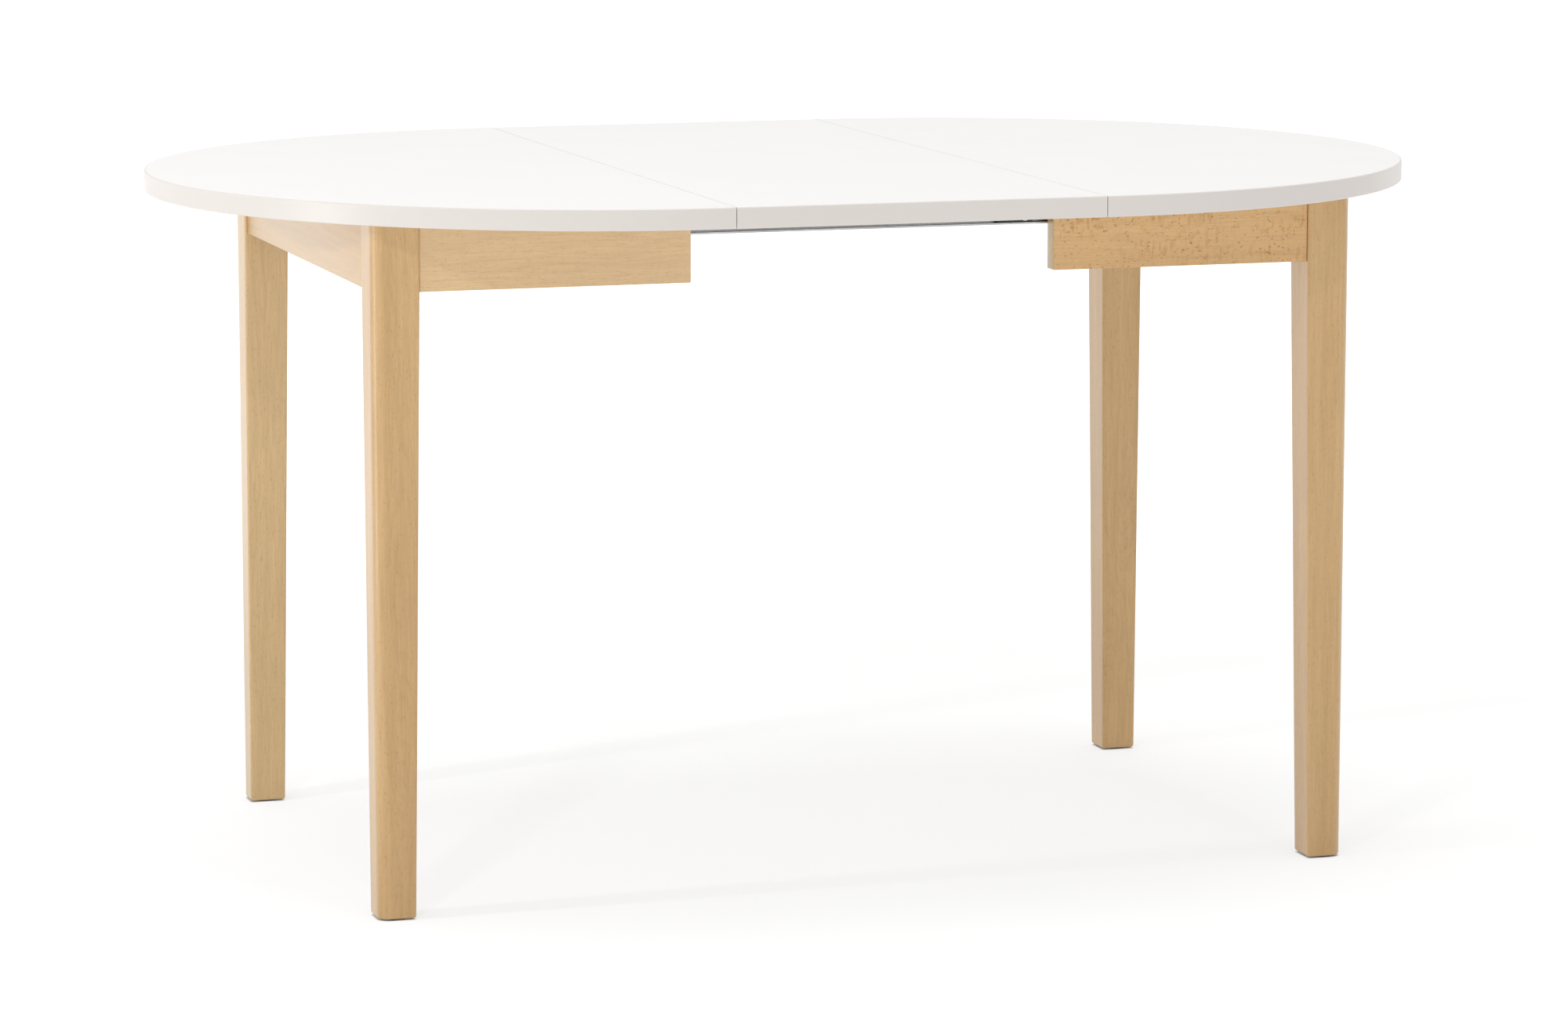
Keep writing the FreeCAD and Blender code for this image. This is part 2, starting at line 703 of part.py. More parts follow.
def make_shoe(side, row):
    body = new_body("Shoe")
    start = f"{side}_shoe_start"
    head = sketch_on(body, "YZ_Plane", start)
    draw_across(head, row, rectangle(SHOE_FACE, f"({RAIL_FAR} - rail_wall - shoe_slide)",
                                     "(rail_height / 2 - rail_wall - shoe_slide)"))
    pad(body, head, "shoe_length")
    tail = sketch_on(body, "YZ_Plane", f"{start} + shoe_length")
    draw_across(tail, row, rectangle("channel_wall + driven_fit", "channel_depth",
                                     "(channel_height / 2 - channel_wall - driven_fit)"))
    pad(body, tail, "shoe_tail")
    place = (f"{start} + button_place", from_apron(row, SHOE_FACE), RAIL_MIDDLE)
    pocket = drill(DISC_SIDES, "button_radius + driven_fit", "button_depth", place, ACROSS * -row)
    finish_in_half(cut(body, [pocket]), f"{row_name(side, row)}_{side}_shoe", side)


def make_buttons(side):
    buttons = []
    for row in (BACK, FRONT):
        button = turned(DISC_SIDES, [
            ("button_radius - button_bevel", "-button_proud"),
            ("button_radius", "button_bevel - button_proud"),
            ("button_radius", "button_depth"),
        ])
        place = (f"{side}_shoe_start + button_place", from_apron(row, SHOE_FACE), RAIL_MIDDLE)
        buttons.append(stand_at(button, place, ACROSS * -row))
    finish_in_half(compound(buttons), f"{side}_shoe_buttons", side)


def stop_place(side):
    """How far past its seam a rail's stop lies: beyond the shoe, when the halves are pulled fully apart."""
    return f"({side}_shoe_start + shoe_length + over_travel + stop_gap)"


def is_outer_bend(edge, middle, box):
    """True for the four outer edges that run along a rail."""
    from_side = min(middle.y - box.YMin, box.YMax - middle.y)
    from_flange = min(middle.z - box.ZMin, box.ZMax - middle.z)
    return from_side < NEAR and from_flange < NEAR


def make_rail(row, name):
    body = new_body("Rail")
    left_stop = f"(-leaf_length / 2 - {stop_place('left')})"
    right_stop = f"(leaf_length / 2 + {stop_place('right')})"
    left_end = f"({left_stop} - stop_thickness - stop_end)"
    right_end = f"({right_stop} + stop_thickness + stop_end)"
    section = sketch_on(body, "YZ_Plane", left_end)
    half = "rail_height / 2"
    inside = "(rail_height / 2 - rail_wall)"
    lip = "(rail_height / 2 - rail_wall - rail_lip)"
    lip_back = f"({RAIL_NEAR} + rail_wall)"
    web = f"({RAIL_FAR} - rail_wall)"
    draw_across(section, row, [
        (RAIL_NEAR, f"-{half}"), (RAIL_FAR, f"-{half}"), (RAIL_FAR, half), (RAIL_NEAR, half),
        (RAIL_NEAR, lip), (lip_back, lip), (lip_back, inside), (web, inside),
        (web, f"-{inside}"), (lip_back, f"-{inside}"), (lip_back, f"-{lip}"), (RAIL_NEAR, f"-{lip}"),
    ])
    strip = pad(body, section, f"{right_end} - {left_end}")
    round_edges(body, strip, "rail_bend", is_outer_bend)
    for place in (f"{left_stop} - stop_thickness", right_stop):
        tab = sketch_on(body, "YZ_Plane", place)
        draw_across(tab, row, rectangle(f"({RAIL_FAR} + channel_depth) / 2", f"{RAIL_FAR} - rail_wall / 2",
                                        "stop_height / 2"))
        pad(body, tab, "stop_thickness")
    places = [place for place in peg_places() if place[1].startswith(f"{row} ")]
    peg_hole = "peg_radius + peg_clearance"
    below = f"{RAIL_TOP} - rail_wall - drill_run_out"
    through = "rail_wall + 2 * drill_run_out"
    holes = [drill(BOLT_SIDES, peg_hole, through, (x, y, below)) for x, y in places]
    finish(cut(body, holes), f"{name}_rail")

    pads = []
    for x, y in places:
        block = new_body("LeafPad")
        sketch = sketch_on(block, "XY_Plane", RAIL_TOP)
        near = from_apron(row, f"{RAIL_NEAR} + pad_edge")
        far = from_apron(row, f"{RAIL_FAR} - pad_edge")
        draw_polygon(sketch, [(f"{x} - pad_length / 2", near), (f"{x} + pad_length / 2", near),
                              (f"{x} + pad_length / 2", far), (f"{x} - pad_length / 2", far)])
        pad(block, sketch, "pad_thickness")
        pads.append(cut(block, [drill(BOLT_SIDES, peg_hole, "pad_thickness", (x, y, RAIL_TOP))]))
    finish(compound(pads), f"{name}_rail_pads")


make_leaf()
for side in SIDES:
    make_top_panel(side)
    make_top_band(side)
    make_end_apron(side)
    make_top_screws(side)
    make_corner_fasteners(side)
    make_runner_screws(side)
    make_buttons(side)
    for row in (BACK, FRONT):
        make_leg(side, row)
        make_glide(side, row)
        make_side_apron(side, row)
        make_corner_plate(side, row)
        make_channel(side, row)
        make_shoe(side, row)
make_rail(BACK, "back")
make_rail(FRONT, "front")
doc.recompute()

failed = [item.Label for item in doc.Objects if {"Invalid", "Error"} & set(item.State)]
failed += [item.Label for item in subparts if item.Shape.isNull() or not item.Shape.isValid()]
if failed:
    raise RuntimeError("These objects failed: " + ", ".join(failed))

os.makedirs("parts", exist_ok=True)
for item in subparts:
    item.Shape.exportStep(f"parts/{item.Label}.step")
    print(item.Label, len(item.Shape.Solids), round(item.Shape.Volume))
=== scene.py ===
import json
from math import pi, radians, sqrt

import bmesh
import bpy
import numpy as np
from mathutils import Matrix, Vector

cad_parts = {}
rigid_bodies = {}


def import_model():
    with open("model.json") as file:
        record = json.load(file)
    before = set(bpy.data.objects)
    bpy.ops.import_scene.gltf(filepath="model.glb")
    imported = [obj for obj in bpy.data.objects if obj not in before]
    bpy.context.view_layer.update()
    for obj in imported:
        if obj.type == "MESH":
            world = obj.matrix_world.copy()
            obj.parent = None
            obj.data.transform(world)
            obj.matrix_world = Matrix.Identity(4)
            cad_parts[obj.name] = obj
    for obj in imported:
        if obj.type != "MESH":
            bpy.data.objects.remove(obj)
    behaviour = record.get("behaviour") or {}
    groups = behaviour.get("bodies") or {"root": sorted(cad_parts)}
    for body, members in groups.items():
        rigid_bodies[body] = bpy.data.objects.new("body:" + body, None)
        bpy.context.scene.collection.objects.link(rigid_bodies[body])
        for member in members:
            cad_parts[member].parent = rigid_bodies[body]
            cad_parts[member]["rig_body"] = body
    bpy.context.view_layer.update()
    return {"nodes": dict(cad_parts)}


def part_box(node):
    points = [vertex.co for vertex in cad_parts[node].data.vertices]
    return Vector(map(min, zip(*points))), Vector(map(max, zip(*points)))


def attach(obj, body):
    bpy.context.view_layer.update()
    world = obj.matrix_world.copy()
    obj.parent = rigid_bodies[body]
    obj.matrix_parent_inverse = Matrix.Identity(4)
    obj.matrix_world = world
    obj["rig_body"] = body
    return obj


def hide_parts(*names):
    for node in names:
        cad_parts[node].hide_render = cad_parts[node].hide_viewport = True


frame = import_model()

# Legs: solid beech under clear satin lacquer, square where the aprons meet them and tapered on the two
# inner faces below. The outer corner has a large round, the other edges a small one, and the sole is eased.
# Inside the corner of the aprons each leg has a flat for the bolt that pulls it tight.

# The rows and sides of the table, each with the way that it faces along Y or X.
rows = {"front": -1, "back": 1}
sides = {"left": -1, "right": 1}
foot_width = 0.040
leg_outer_round = 0.013
leg_edge_round = 0.0025
leg_inner_round = 0.0012
leg_inner_cut = 0.0012
leg_corner_flat = 0.010
sole_round = 0.003
leg_light = (0.666, 0.430, 0.186)
leg_dark = (0.569, 0.344, 0.135)
pale_leg_light = (0.702, 0.487, 0.235)
pale_leg_dark = (0.624, 0.414, 0.192)
leg_fleck = 0.25
grain_upright = (0, 0, 0)
most_of_noise = (0.3, 0.7)
sharp_angle = radians(35)
merge_distance = 1e-7


def add_node(tree, kind, inputs=None, **settings):
    """A node with its settings, whose inputs take a value or a link from another node's output."""
    node = tree.nodes.new(kind)
    for name, value in settings.items():
        setattr(node, name, value)
    for name, value in (inputs or {}).items():
        if isinstance(value, bpy.types.NodeSocket):
            tree.links.new(value, node.inputs[name])
        else:
            node.inputs[name].default_value = value
    return node


def mix_color(tree, blend, factor, first, second):
    """Two colours blended by a factor from 0 to 1."""
    colors = {0: factor, 6: first, 7: second}
    return add_node(tree, "ShaderNodeMix", colors, data_type="RGBA", blend_type=blend).outputs[2]


def between(tree, value, low, high, start=0.0, stop=1.0):
    """A value carried from the range low..high to start..stop, and held at the ends."""
    limits = {"Value": value, "From Min": low, "From Max": high, "To Min": start, "To Max": stop}
    return add_node(tree, "ShaderNodeMapRange", limits).outputs[0]


def calculate(tree, operation, first, second):
    """Two values put together by a named operation, such as a sum or a product."""
    return add_node(tree, "ShaderNodeMath", {0: first, 1: second}, operation=operation).outputs[0]


def swayed(tree, vector, color, sway):
    """The vector moved by a noise's colour, up to the sway."""
    moved = {0: color, 1: sway, 2: vector}
    return add_node(tree, "ShaderNodeVectorMath", moved, operation="MULTIPLY_ADD").outputs[0]


def stretched(tree, vector, across, along):
    """The vector in units that are this wide across the third axis and this long along it."""
    scale = (1 / across, 1 / across, 1 / along)
    return add_node(tree, "ShaderNodeMapping", {"Vector": vector, "Scale": scale}).outputs[0]


def noise(tree, vector, across, along, detail):
    """Noise whose patches have that width and length."""
    scaled = stretched(tree, vector, across, along)
    return add_node(tree, "ShaderNodeTexNoise", {"Vector": scaled, "Scale": 1.0, "Detail": detail}).outputs


def cells(tree, vector, across, along):
    """Cells of that width and length, each with a colour of its own and the distance from its middle."""
    scaled = stretched(tree, vector, across, along)
    return add_node(tree, "ShaderNodeTexVoronoi", {"Vector": scaled, "Scale": 1.0}).outputs


def new_group(name, inputs):
    """An empty node group with named inputs, each given with its socket type, and a surface's outputs."""
    outputs = {"Color": "Color", "Roughness": "Float", "Height": "Float"}
    group = bpy.data.node_groups.new(name, "ShaderNodeTree")
    for direction, sockets in (("INPUT", inputs), ("OUTPUT", outputs)):
        for label, kind in sockets.items():
            group.interface.new_socket(label, in_out=direction, socket_type=f"NodeSocket{kind}")
    return group, add_node(group, "NodeGroupInput").outputs, add_node(group, "NodeGroupOutput").inputs


def new_material(name):
    """A material with its node tree, its Principled shader and the Object coordinates."""
    material = bpy.data.materials.new(name)
    material.use_nodes = True
    tree = material.node_tree
    place = add_node(tree, "ShaderNodeTexCoord").outputs["Object"]
    return material, tree, tree.nodes["Principled BSDF"], place


def dress(tree, shader, group, looks, strength, relief):
    """Puts a surface group into a material: its colour, its roughness and a normal bumped by its height."""
    surface = add_node(tree, "ShaderNodeGroup", looks, node_tree=group).outputs
    bumps = {"Strength": strength, "Distance": relief, "Height": surface["Height"]}
    tree.links.new(surface["Color"], shader.inputs["Base Color"])
    tree.links.new(surface["Roughness"], shader.inputs["Roughness"])
    tree.links.new(add_node(tree, "ShaderNodeBump", bumps).outputs[0], shader.inputs["Normal"])


def build_beech_grain():
    """Beech with its grain along the third axis: broad bands, growth rings as the steps of a slow noise,
    fibres and short dark pores, each drawn out along the grain by its own length, ray flecks as the middles
    of small drawn-out cells that a noise tilts, and a figure of short waves across the grain. A slow noise
    thins out the flecks and waves. Where a face looks along the grain, the end grain is duller."""
    tree, given, result = new_group(
        "beech_grain",
        {"Vector": "Vector", "Facing": "Vector", "Light": "Color", "Dark": "Color", "Fleck": "Float",
         "Figure": "Float"})
    sway = (0.012, 0.012, 0)
    tone_share = 0.6
    band_share = 0.5
    ring_count = 45.0
    ring_edge = 0.4
    ring_shade = 0.05
    pore_color = (0.430, 0.190, 0.020, 1)
    pore_range = (0.60, 0.74)
    pore_share = 0.24
    pore_height = -0.8
    patch_range = (0.38, 0.58)
    fleck_color = (0.400, 0.115, 0.006, 1)
    fleck_edge = (0.34, 0.18)
    fleck_choice = (0.45, 0.60)
    fleck_least = 0.6
    wave_range = (0.50, 0.66)
    fibre_range = (0.25, 0.75)
    fibre_shade = (0.93, 1.09)
    sheen_range = (0.2, 0.8)
    sheen = (0.34, 0.46)
    end_grain_tint = (0.68, 0.74, 0.74, 1)
    end_grain_range = (0.5, 0.8)

    wander = noise(tree, given["Vector"], across=0.050, along=0.250, detail=1.0)["Color"]
    grain = swayed(tree, given["Vector"], wander, sway)
    tone = noise(tree, grain, across=0.030, along=0.600, detail=1.0)[0]
    tone = between(tree, tone, *most_of_noise, 0.0, tone_share)
    bands = noise(tree, grain, across=0.006, along=0.200, detail=3.0)[0]
    bands = between(tree, bands, *most_of_noise, 0.0, band_share)
    growth = noise(tree, grain, across=0.030, along=0.900, detail=0.0)[0]
    growth = calculate(tree, "MULTIPLY", growth, ring_count)
    rings = between(tree, calculate(tree, "FRACT", growth, 0.0), ring_edge, 1.0)
    fibres = noise(tree, grain, across=0.0015, along=0.060, detail=2.0)[0]
    pores = noise(tree, grain, across=0.0012, along=0.010, detail=1.0)[0]
    pores = between(tree, pores, *pore_range)
    patches = noise(tree, given["Vector"], across=0.030, along=0.090, detail=1.0)[0]
    patches = between(tree, patches, *patch_range)
    tilt = noise(tree, given["Vector"], across=0.015, along=0.020, detail=1.0)["Color"]
    tilted = swayed(tree, grain, tilt, sway)
    rays = cells(tree, tilted, across=0.0022, along=0.0060)
    chosen = between(tree, rays["Color"], *fleck_choice)
    flecks = calculate(tree, "MULTIPLY", between(tree, rays["Distance"], *fleck_edge), chosen)
    flecks = calculate(tree, "MULTIPLY", flecks, between(tree, patches, 0, 1, fleck_least, 1.0))
    flecks = calculate(tree, "MULTIPLY", flecks, given["Fleck"])
    waves = noise(tree, tilted, across=0.010, along=0.0036, detail=1.0)[0]
    figure = calculate(tree, "MULTIPLY", between(tree, waves, *wave_range), patches)
    figure = calculate(tree, "MULTIPLY", figure, given["Figure"])

    color = mix_color(tree, "MIX", calculate(tree, "ADD", bands, tone), given["Light"], given["Dark"])
    shade = calculate(tree, "SUBTRACT", between(tree, fibres, *fibre_range, *fibre_shade),
                      calculate(tree, "MULTIPLY", rings, ring_shade))
    shaded = add_node(tree, "ShaderNodeCombineColor", {0: shade, 1: shade, 2: shade}).outputs[0]
    color = mix_color(tree, "MULTIPLY", 1.0, color, shaded)
    color = mix_color(tree, "MIX", calculate(tree, "MULTIPLY", pores, pore_share), color, pore_color)
    color = mix_color(tree, "MIX", figure, color, pore_color)
    color = mix_color(tree, "MIX", flecks, color, fleck_color)
    along_grain = add_node(tree, "ShaderNodeSeparateXYZ", {0: given["Facing"]}).outputs[2]
    end_grain = calculate(tree, "MULTIPLY", along_grain, along_grain)
    end_grain = between(tree, end_grain, *end_grain_range)
    color = mix_color(tree, "MULTIPLY", end_grain, color, end_grain_tint)
    tree.links.new(color, result["Color"])
    tree.links.new(between(tree, fibres, *sheen_range, *sheen), result["Roughness"])
    sunk = calculate(tree, "MULTIPLY", pores, pore_height)
    tree.links.new(calculate(tree, "ADD", sunk, fibres), result["Height"])
    return tree


def make_beech(name, turn, light, dark, fleck, figure=0.0, start=(0, 0, 0)):
    """Lacquered beech between a light and a dark colour, whose grain is turned to run along the piece and
    starts at a place of its own in the pattern."""
    lacquer_weight = 0.6
    lacquer_roughness = 0.22
    material, tree, shader, place = new_material(name)
    along = add_node(tree, "ShaderNodeMapping", {"Vector": place, "Rotation": turn, "Location": start})
    normal = add_node(tree, "ShaderNodeTexCoord").outputs["Normal"]
    facing = add_node(tree, "ShaderNodeMapping", {"Vector": normal, "Rotation": turn})
    looks = {"Vector": along.outputs[0], "Facing": facing.outputs[0], "Light": light + (1,),
             "Dark": dark + (1,), "Fleck": fleck, "Figure": figure}
    dress(tree, shader, beech_grain, looks, strength=0.25, relief=0.0002)
    shader.inputs["Coat Weight"].default_value = lacquer_weight
    shader.inputs["Coat Roughness"].default_value = lacquer_roughness
    return material


def rounded(corners, radii, steps=7, ease=0.0001):
    """Outline of a polygon whose corners are arcs that touch both sides. Each arc's middle lies on the
    corner's bisector, and its points divide the turn evenly. A short straight step on both sides of an arc
    keeps the flats flat in the shading."""
    corners = np.array(corners, float)
    radii = np.array(radii, float)[:, None]
    before = np.roll(corners, 1, axis=0) - corners
    after = np.roll(corners, -1, axis=0) - corners
    before /= np.linalg.norm(before, axis=1, keepdims=True)
    after /= np.linalg.norm(after, axis=1, keepdims=True)
    turn = pi - np.arccos((before * after).sum(axis=1, keepdims=True))
    reach = radii * np.tan(turn / 2)
    start = corners + before * reach
    stop = corners + after * reach
    bisector = (before + after) / np.linalg.norm(before + after, axis=1, keepdims=True)
    middle = corners + bisector * radii / np.cos(turn / 2)
    share = np.linspace(0, 1, steps)[None, :, None]
    sweep = turn[:, None, :]
    arcs = middle[:, None] + (np.sin((1 - share) * sweep) * (start - middle)[:, None]
                              + np.sin(share * sweep) * (stop - middle)[:, None]) / np.sin(sweep)
    lead = (start + before * ease)[:, None]
    trail = (stop + after * ease)[:, None]
    return np.concatenate([lead, arcs, trail], axis=1).reshape(-1, 2)


def quarter_round(radius, steps=6):
    """How far a rounded edge stands in, and how far it has risen, from its flat face to its side."""
    angle = np.linspace(0, pi / 2, steps)
    return list(zip(radius * (1 - np.sin(angle)), radius * (1 - np.cos(angle))))


def lifted(outline, height):
    """An outline of (x, y) pairs, laid flat at a height."""
    return np.column_stack([outline, np.full(len(outline), height)])


def skin(rings):
    """A closed shell: rows of points that run round it, four-cornered walls between them and a flat face at
    each end, all as arrays."""
    rings = np.array(rings)
    count, around = rings.shape[:2]
    index = np.arange(count * around).reshape(count, around)
    ahead = np.roll(index, -1, axis=1)
    walls = np.stack([index[:-1], ahead[:-1], ahead[1:], index[1:]], axis=-1).reshape(-1, 4)
    ends = np.stack([index[0, ::-1], index[-1]])
    return rings.reshape(-1, 3), walls, ends


def joined(name, shells):
    """One mesh of several closed shells, where each shell's faces count on from the points before it."""
    points = np.concatenate([shell[0] for shell in shells])
    starts = np.cumsum([0] + [len(shell[0]) for shell in shells])
    faces = []
    for start, shell in zip(starts, shells):
        faces += (shell[1] + start).tolist() + (shell[2] + start).tolist()
    mesh = bpy.data.meshes.new(name)
    mesh.from_pydata(points.tolist(), [], faces)
    return mesh


def put_piece(node, slot, material, shells):
    """One object for a node, of one or more closed shells, smooth except at sharp edges, riding with its
    body."""
    mesh = joined(f"{slot}_{node}", shells)
    shell = bmesh.new()
    shell.from_mesh(mesh)
    bmesh.ops.remove_doubles(shell, verts=shell.verts, dist=merge_distance)
    bmesh.ops.recalc_face_normals(shell, faces=shell.faces)
    shell.to_mesh(mesh)
    shell.free()
    mesh.shade_smooth()
    mesh.set_sharp_from_angle(angle=sharp_angle)
    mesh.materials.append(material)
    piece = bpy.data.objects.new(mesh.name, mesh)
    bpy.context.scene.collection.objects.link(piece)
    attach(piece, frame["nodes"][node]["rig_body"])
    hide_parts(node)
    return piece


def leg_ring(width, cut, height, inset=0):
    """The leg's section at a height, seen from its outer corner: a square with rounded edges, cut at the
    inner corner, and drawn in all round by the inset."""
    low, high = inset, width - inset
    corners = [(low, low), (high, low), (high, high - cut), (high - cut, high), (low, high)]
    radii = [leg_outer_round - inset, leg_edge_round, leg_inner_round, leg_inner_round, leg_edge_round]
    return lifted(rounded(corners, radii), height)


beech_grain = build_beech_grain()
leg_beech = make_beech("beech_legs", grain_upright, leg_light, leg_dark, leg_fleck)
pale_leg_beech = make_beech("beech_pale_leg", grain_upright, pale_leg_light, pale_leg_dark, leg_fleck)
apron_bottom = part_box("left_end_apron")[0].z
for side in sides:
    for row in rows:
        node = f"{row}_{side}_leg"
        low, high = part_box(node)
        leg_width = high.x - low.x
        rings = [leg_ring(foot_width, leg_inner_cut, low.z + rise, inset)
                 for inset, rise in quarter_round(sole_round)]
        rings.append(leg_ring(leg_width, leg_inner_cut, apron_bottom))
        rings.append(leg_ring(leg_width, leg_corner_flat, apron_bottom))
        rings.append(leg_ring(leg_width, leg_corner_flat, high.z))
        rings = np.array(rings)
        rings[..., 0] = high.x - rings[..., 0] if side == "right" else low.x + rings[..., 0]
        rings[..., 1] = high.y - rings[..., 1] if row == "back" else low.y + rings[..., 1]
        finish = pale_leg_beech if node == "back_left_leg" else leg_beech
        put_piece(node, "beech", finish, [skin(rings)])

# Glides: dark brown plastic discs under the feet, moulded with a rounded lower edge.
# A pin on each is knocked into the end grain of the leg.

glide_round = 0.0006
glide_sides = 64
glide_brown = (0.110, 0.066, 0.038)
glide_roughness = 0.45


def build_even_surface():
    """A moulded or pressed surface: a slow noise between two tones and two sheens, and a fine grain."""
    tree, given, result = new_group(
        "even_surface",
        {"Vector": "Vector", "Cloud Scale": "Float", "Cloud Detail": "Float", "Grain Scale": "Float",
         "Light": "Color", "Dark": "Color", "Smooth": "Float", "Rough": "Float"})
    clouds = {"Vector": given["Vector"], "Scale": given["Cloud Scale"], "Detail": given["Cloud Detail"]}
    grains = {"Vector": given["Vector"], "Scale": given["Grain Scale"], "Detail": 2.0}
    cloud = add_node(tree, "ShaderNodeTexNoise", clouds).outputs[0]
    grain = add_node(tree, "ShaderNodeTexNoise", grains).outputs[0]
    color = mix_color(tree, "MIX", between(tree, cloud, *most_of_noise), given["Light"], given["Dark"])
    sheen = between(tree, cloud, *most_of_noise, given["Smooth"], given["Rough"])
    tree.links.new(color, result["Color"])
    tree.links.new(sheen, result["Roughness"])
    tree.links.new(grain, result["Height"])
    return tree


def make_even(name, color, roughness, dark_share, swing, cloud_size, cloud_detail, grain_size, strength):
    """A material of the even surface: its darker tone is a share of its colour, and its roughness swings to
    both sides. Clouds and grain have their own sizes, and the grain its strength."""
    material, tree, shader, place = new_material(name)
    dark = tuple(dark_share * part for part in color)
    looks = {"Vector": place, "Cloud Scale": 1 / cloud_size, "Cloud Detail": cloud_detail,
             "Grain Scale": 1 / grain_size, "Light": color + (1,), "Dark": dark + (1,),
             "Smooth": roughness - swing, "Rough": roughness + swing}
    dress(tree, shader, even_surface, looks, strength, relief=0.0001)
    return material


def make_plastic(name, color, roughness):
    """Moulded plastic with a fine spark-eroded grain and a faint unevenness of tone."""
    return make_even(name, color, roughness, dark_share=0.8, swing=0.05, cloud_size=0.015,
                     cloud_detail=2.0, grain_size=0.0005, strength=0.2)


def polar(radius, angle, height):
    """Points at a radius and an angle about the Z axis, and at a height."""
    flat = np.broadcast_arrays(radius * np.cos(angle), radius * np.sin(angle), height)
    return np.stack(flat, axis=-1)


def turned(profile, count):
    """A turned shape: (radius, height) pairs carried round the Z axis in equal steps."""
    profile = np.array(profile)
    angle = np.linspace(0, 2 * pi, count, endpoint=False)
    return polar(profile[:, :1], angle, profile[:, 1:])


even_surface = build_even_surface()
brown_plastic = make_plastic("brown_plastic", glide_brown, glide_roughness)
for side in sides:
    for row in rows:
        node = f"{row}_{side}_glide"
        low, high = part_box(node)
        radius = (high.x - low.x) / 2
        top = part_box(f"{row}_{side}_leg")[0].z
        profile = [(radius - inset, low.z + rise) for inset, rise in quarter_round(glide_round)]
        rings = turned(profile + [(radius, top)], glide_sides)
        middle = (low + high) / 2
        put_piece(node, "brown_plastic", brown_plastic, [skin(rings + np.array([middle.x, middle.y, 0]))])

# Aprons: beech boards between the legs, set back from the faces of the legs, with eased lower edges.
# The side aprons end free below the seams of the top, and their lower corner there is slightly rounded.
# All are bored from below for the screws that hold the top.

apron_edge_round = 0.0012
apron_free_round = 0.0015
apron_ease = 0.00005
bore_radius = 0.005
bore_sides = 32
bore_lead = 0.025
screw_seat_depth = 0.025
side_screw_first = 0.075
side_screw_pitch = 0.095
end_screw_spacing = 0.300
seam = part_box("right_top")[0].x
pale_light = (0.764, 0.528, 0.276)
pale_dark = (0.715, 0.486, 0.250)
pale_figure = 0.05
figured_light = (0.742, 0.460, 0.190)
figured_dark = (0.648, 0.389, 0.150)
figured_start = (0.31, 0.0, 0.0)
figured_fleck = 0.9
figured_figure = 0.40
end_light = (0.639, 0.393, 0.134)
end_dark = (0.546, 0.314, 0.097)
plain_fleck = 0.20
grain_along = (0, -pi / 2, 0)
grain_across = (pi / 2, 0, 0)
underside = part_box("leaf_panel")[0].z


def apron_rings(near, far, length, bottom, top, free_round):
    """A board as outlines stacked from its near to its far face. Each is a rectangle of length and height
    whose lower corner at the start is rounded, drawn in along the bottom and the ends where the edges are
    eased."""
    def outline(inset, depth):
        """One rectangle at a depth, drawn in by the inset."""
        end = length - inset
        foot = bottom + inset
        corners = [(inset, foot), (end, foot), (end, top), (inset, top)]
        shape = rounded(corners, [max(free_round - inset, 0), 0, 0, 0], ease=apron_ease)
        return np.column_stack([shape[:, 0], np.full(len(shape), depth), shape[:, 1]])

    eased = quarter_round(apron_edge_round)
    rings = [outline(inset, near + rise) for inset, rise in eased]
    return np.array(rings + [outline(inset, far - rise) for inset, rise in reversed(eased)])


def bore_from_below(piece, places):
    """Cuts a round hole up from the apron's lower edge to the seat of each screw. It starts a lead lower."""
    profile = [(bore_radius, apron_bottom - bore_lead), (bore_radius, underside - screw_seat_depth)]
    shells = [skin(turned(profile, bore_sides) + np.array([x, y, 0])) for x, y in places]
    cutter = bpy.data.objects.new("holes", joined("holes", shells))
    bpy.context.scene.collection.objects.link(cutter)
    bore = piece.modifiers.new("bore", "BOOLEAN")
    bore.object = cutter
    bore.solver = "EXACT"
    bored = bpy.data.meshes.new_from_object(piece.evaluated_get(bpy.context.evaluated_depsgraph_get()))
    piece.modifiers.remove(bore)
    piece.data = bored
    bored.set_sharp_from_angle(angle=sharp_angle)
    bpy.data.objects.remove(cutter)


side_beech = make_beech("beech_side_aprons", grain_along, pale_light, pale_dark, plain_fleck, pale_figure)
figured_beech = make_beech("beech_figured_apron", grain_along, figured_light, figured_dark, figured_fleck,
                           figured_figure, figured_start)
end_beech = make_beech("beech_end_aprons", grain_across, end_light, end_dark, plain_fleck)
top_screw_places = {side: [] for side in sides}
for side, outward in sides.items():
    low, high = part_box(f"{side}_end_apron")
    rings = apron_rings(low.x, high.x, high.y - low.y, low.z, high.z, free_round=0)
    rings = np.stack([rings[..., 1], low.y + rings[..., 0], rings[..., 2]], axis=-1)
    apron = put_piece(f"{side}_end_apron", "beech", end_beech, [skin(rings)])
    places = [((low.x + high.x) / 2, step * end_screw_spacing / 2) for step in (-1, 1)]
    bore_from_below(apron, places)
    top_screw_places[side] += places
    for row in rows:
        node = f"{row}_{side}_apron"
        low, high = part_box(node)
        rings = apron_rings(low.y, high.y, high.x - low.x, low.z, high.z, apron_free_round)
        rings[..., 0] = outward * (rings[..., 0] + seam)
        finish = figured_beech if node == "front_right_apron" else side_beech
        apron = put_piece(node, "beech", finish, [skin(rings)])
        steps = (side_screw_first, side_screw_first + side_screw_pitch)
        places = [(outward * (seam + step), (low.y + high.y) / 2) for step in steps]
        bore_from_below(apron, places)
        top_screw_places[side] += places

# Corner plates: strips of zinc-plated steel bent across each corner and screwed to the inner faces of the
# aprons. A hanger bolt in each leg passes through its plate, and a flange nut draws the leg up tight.

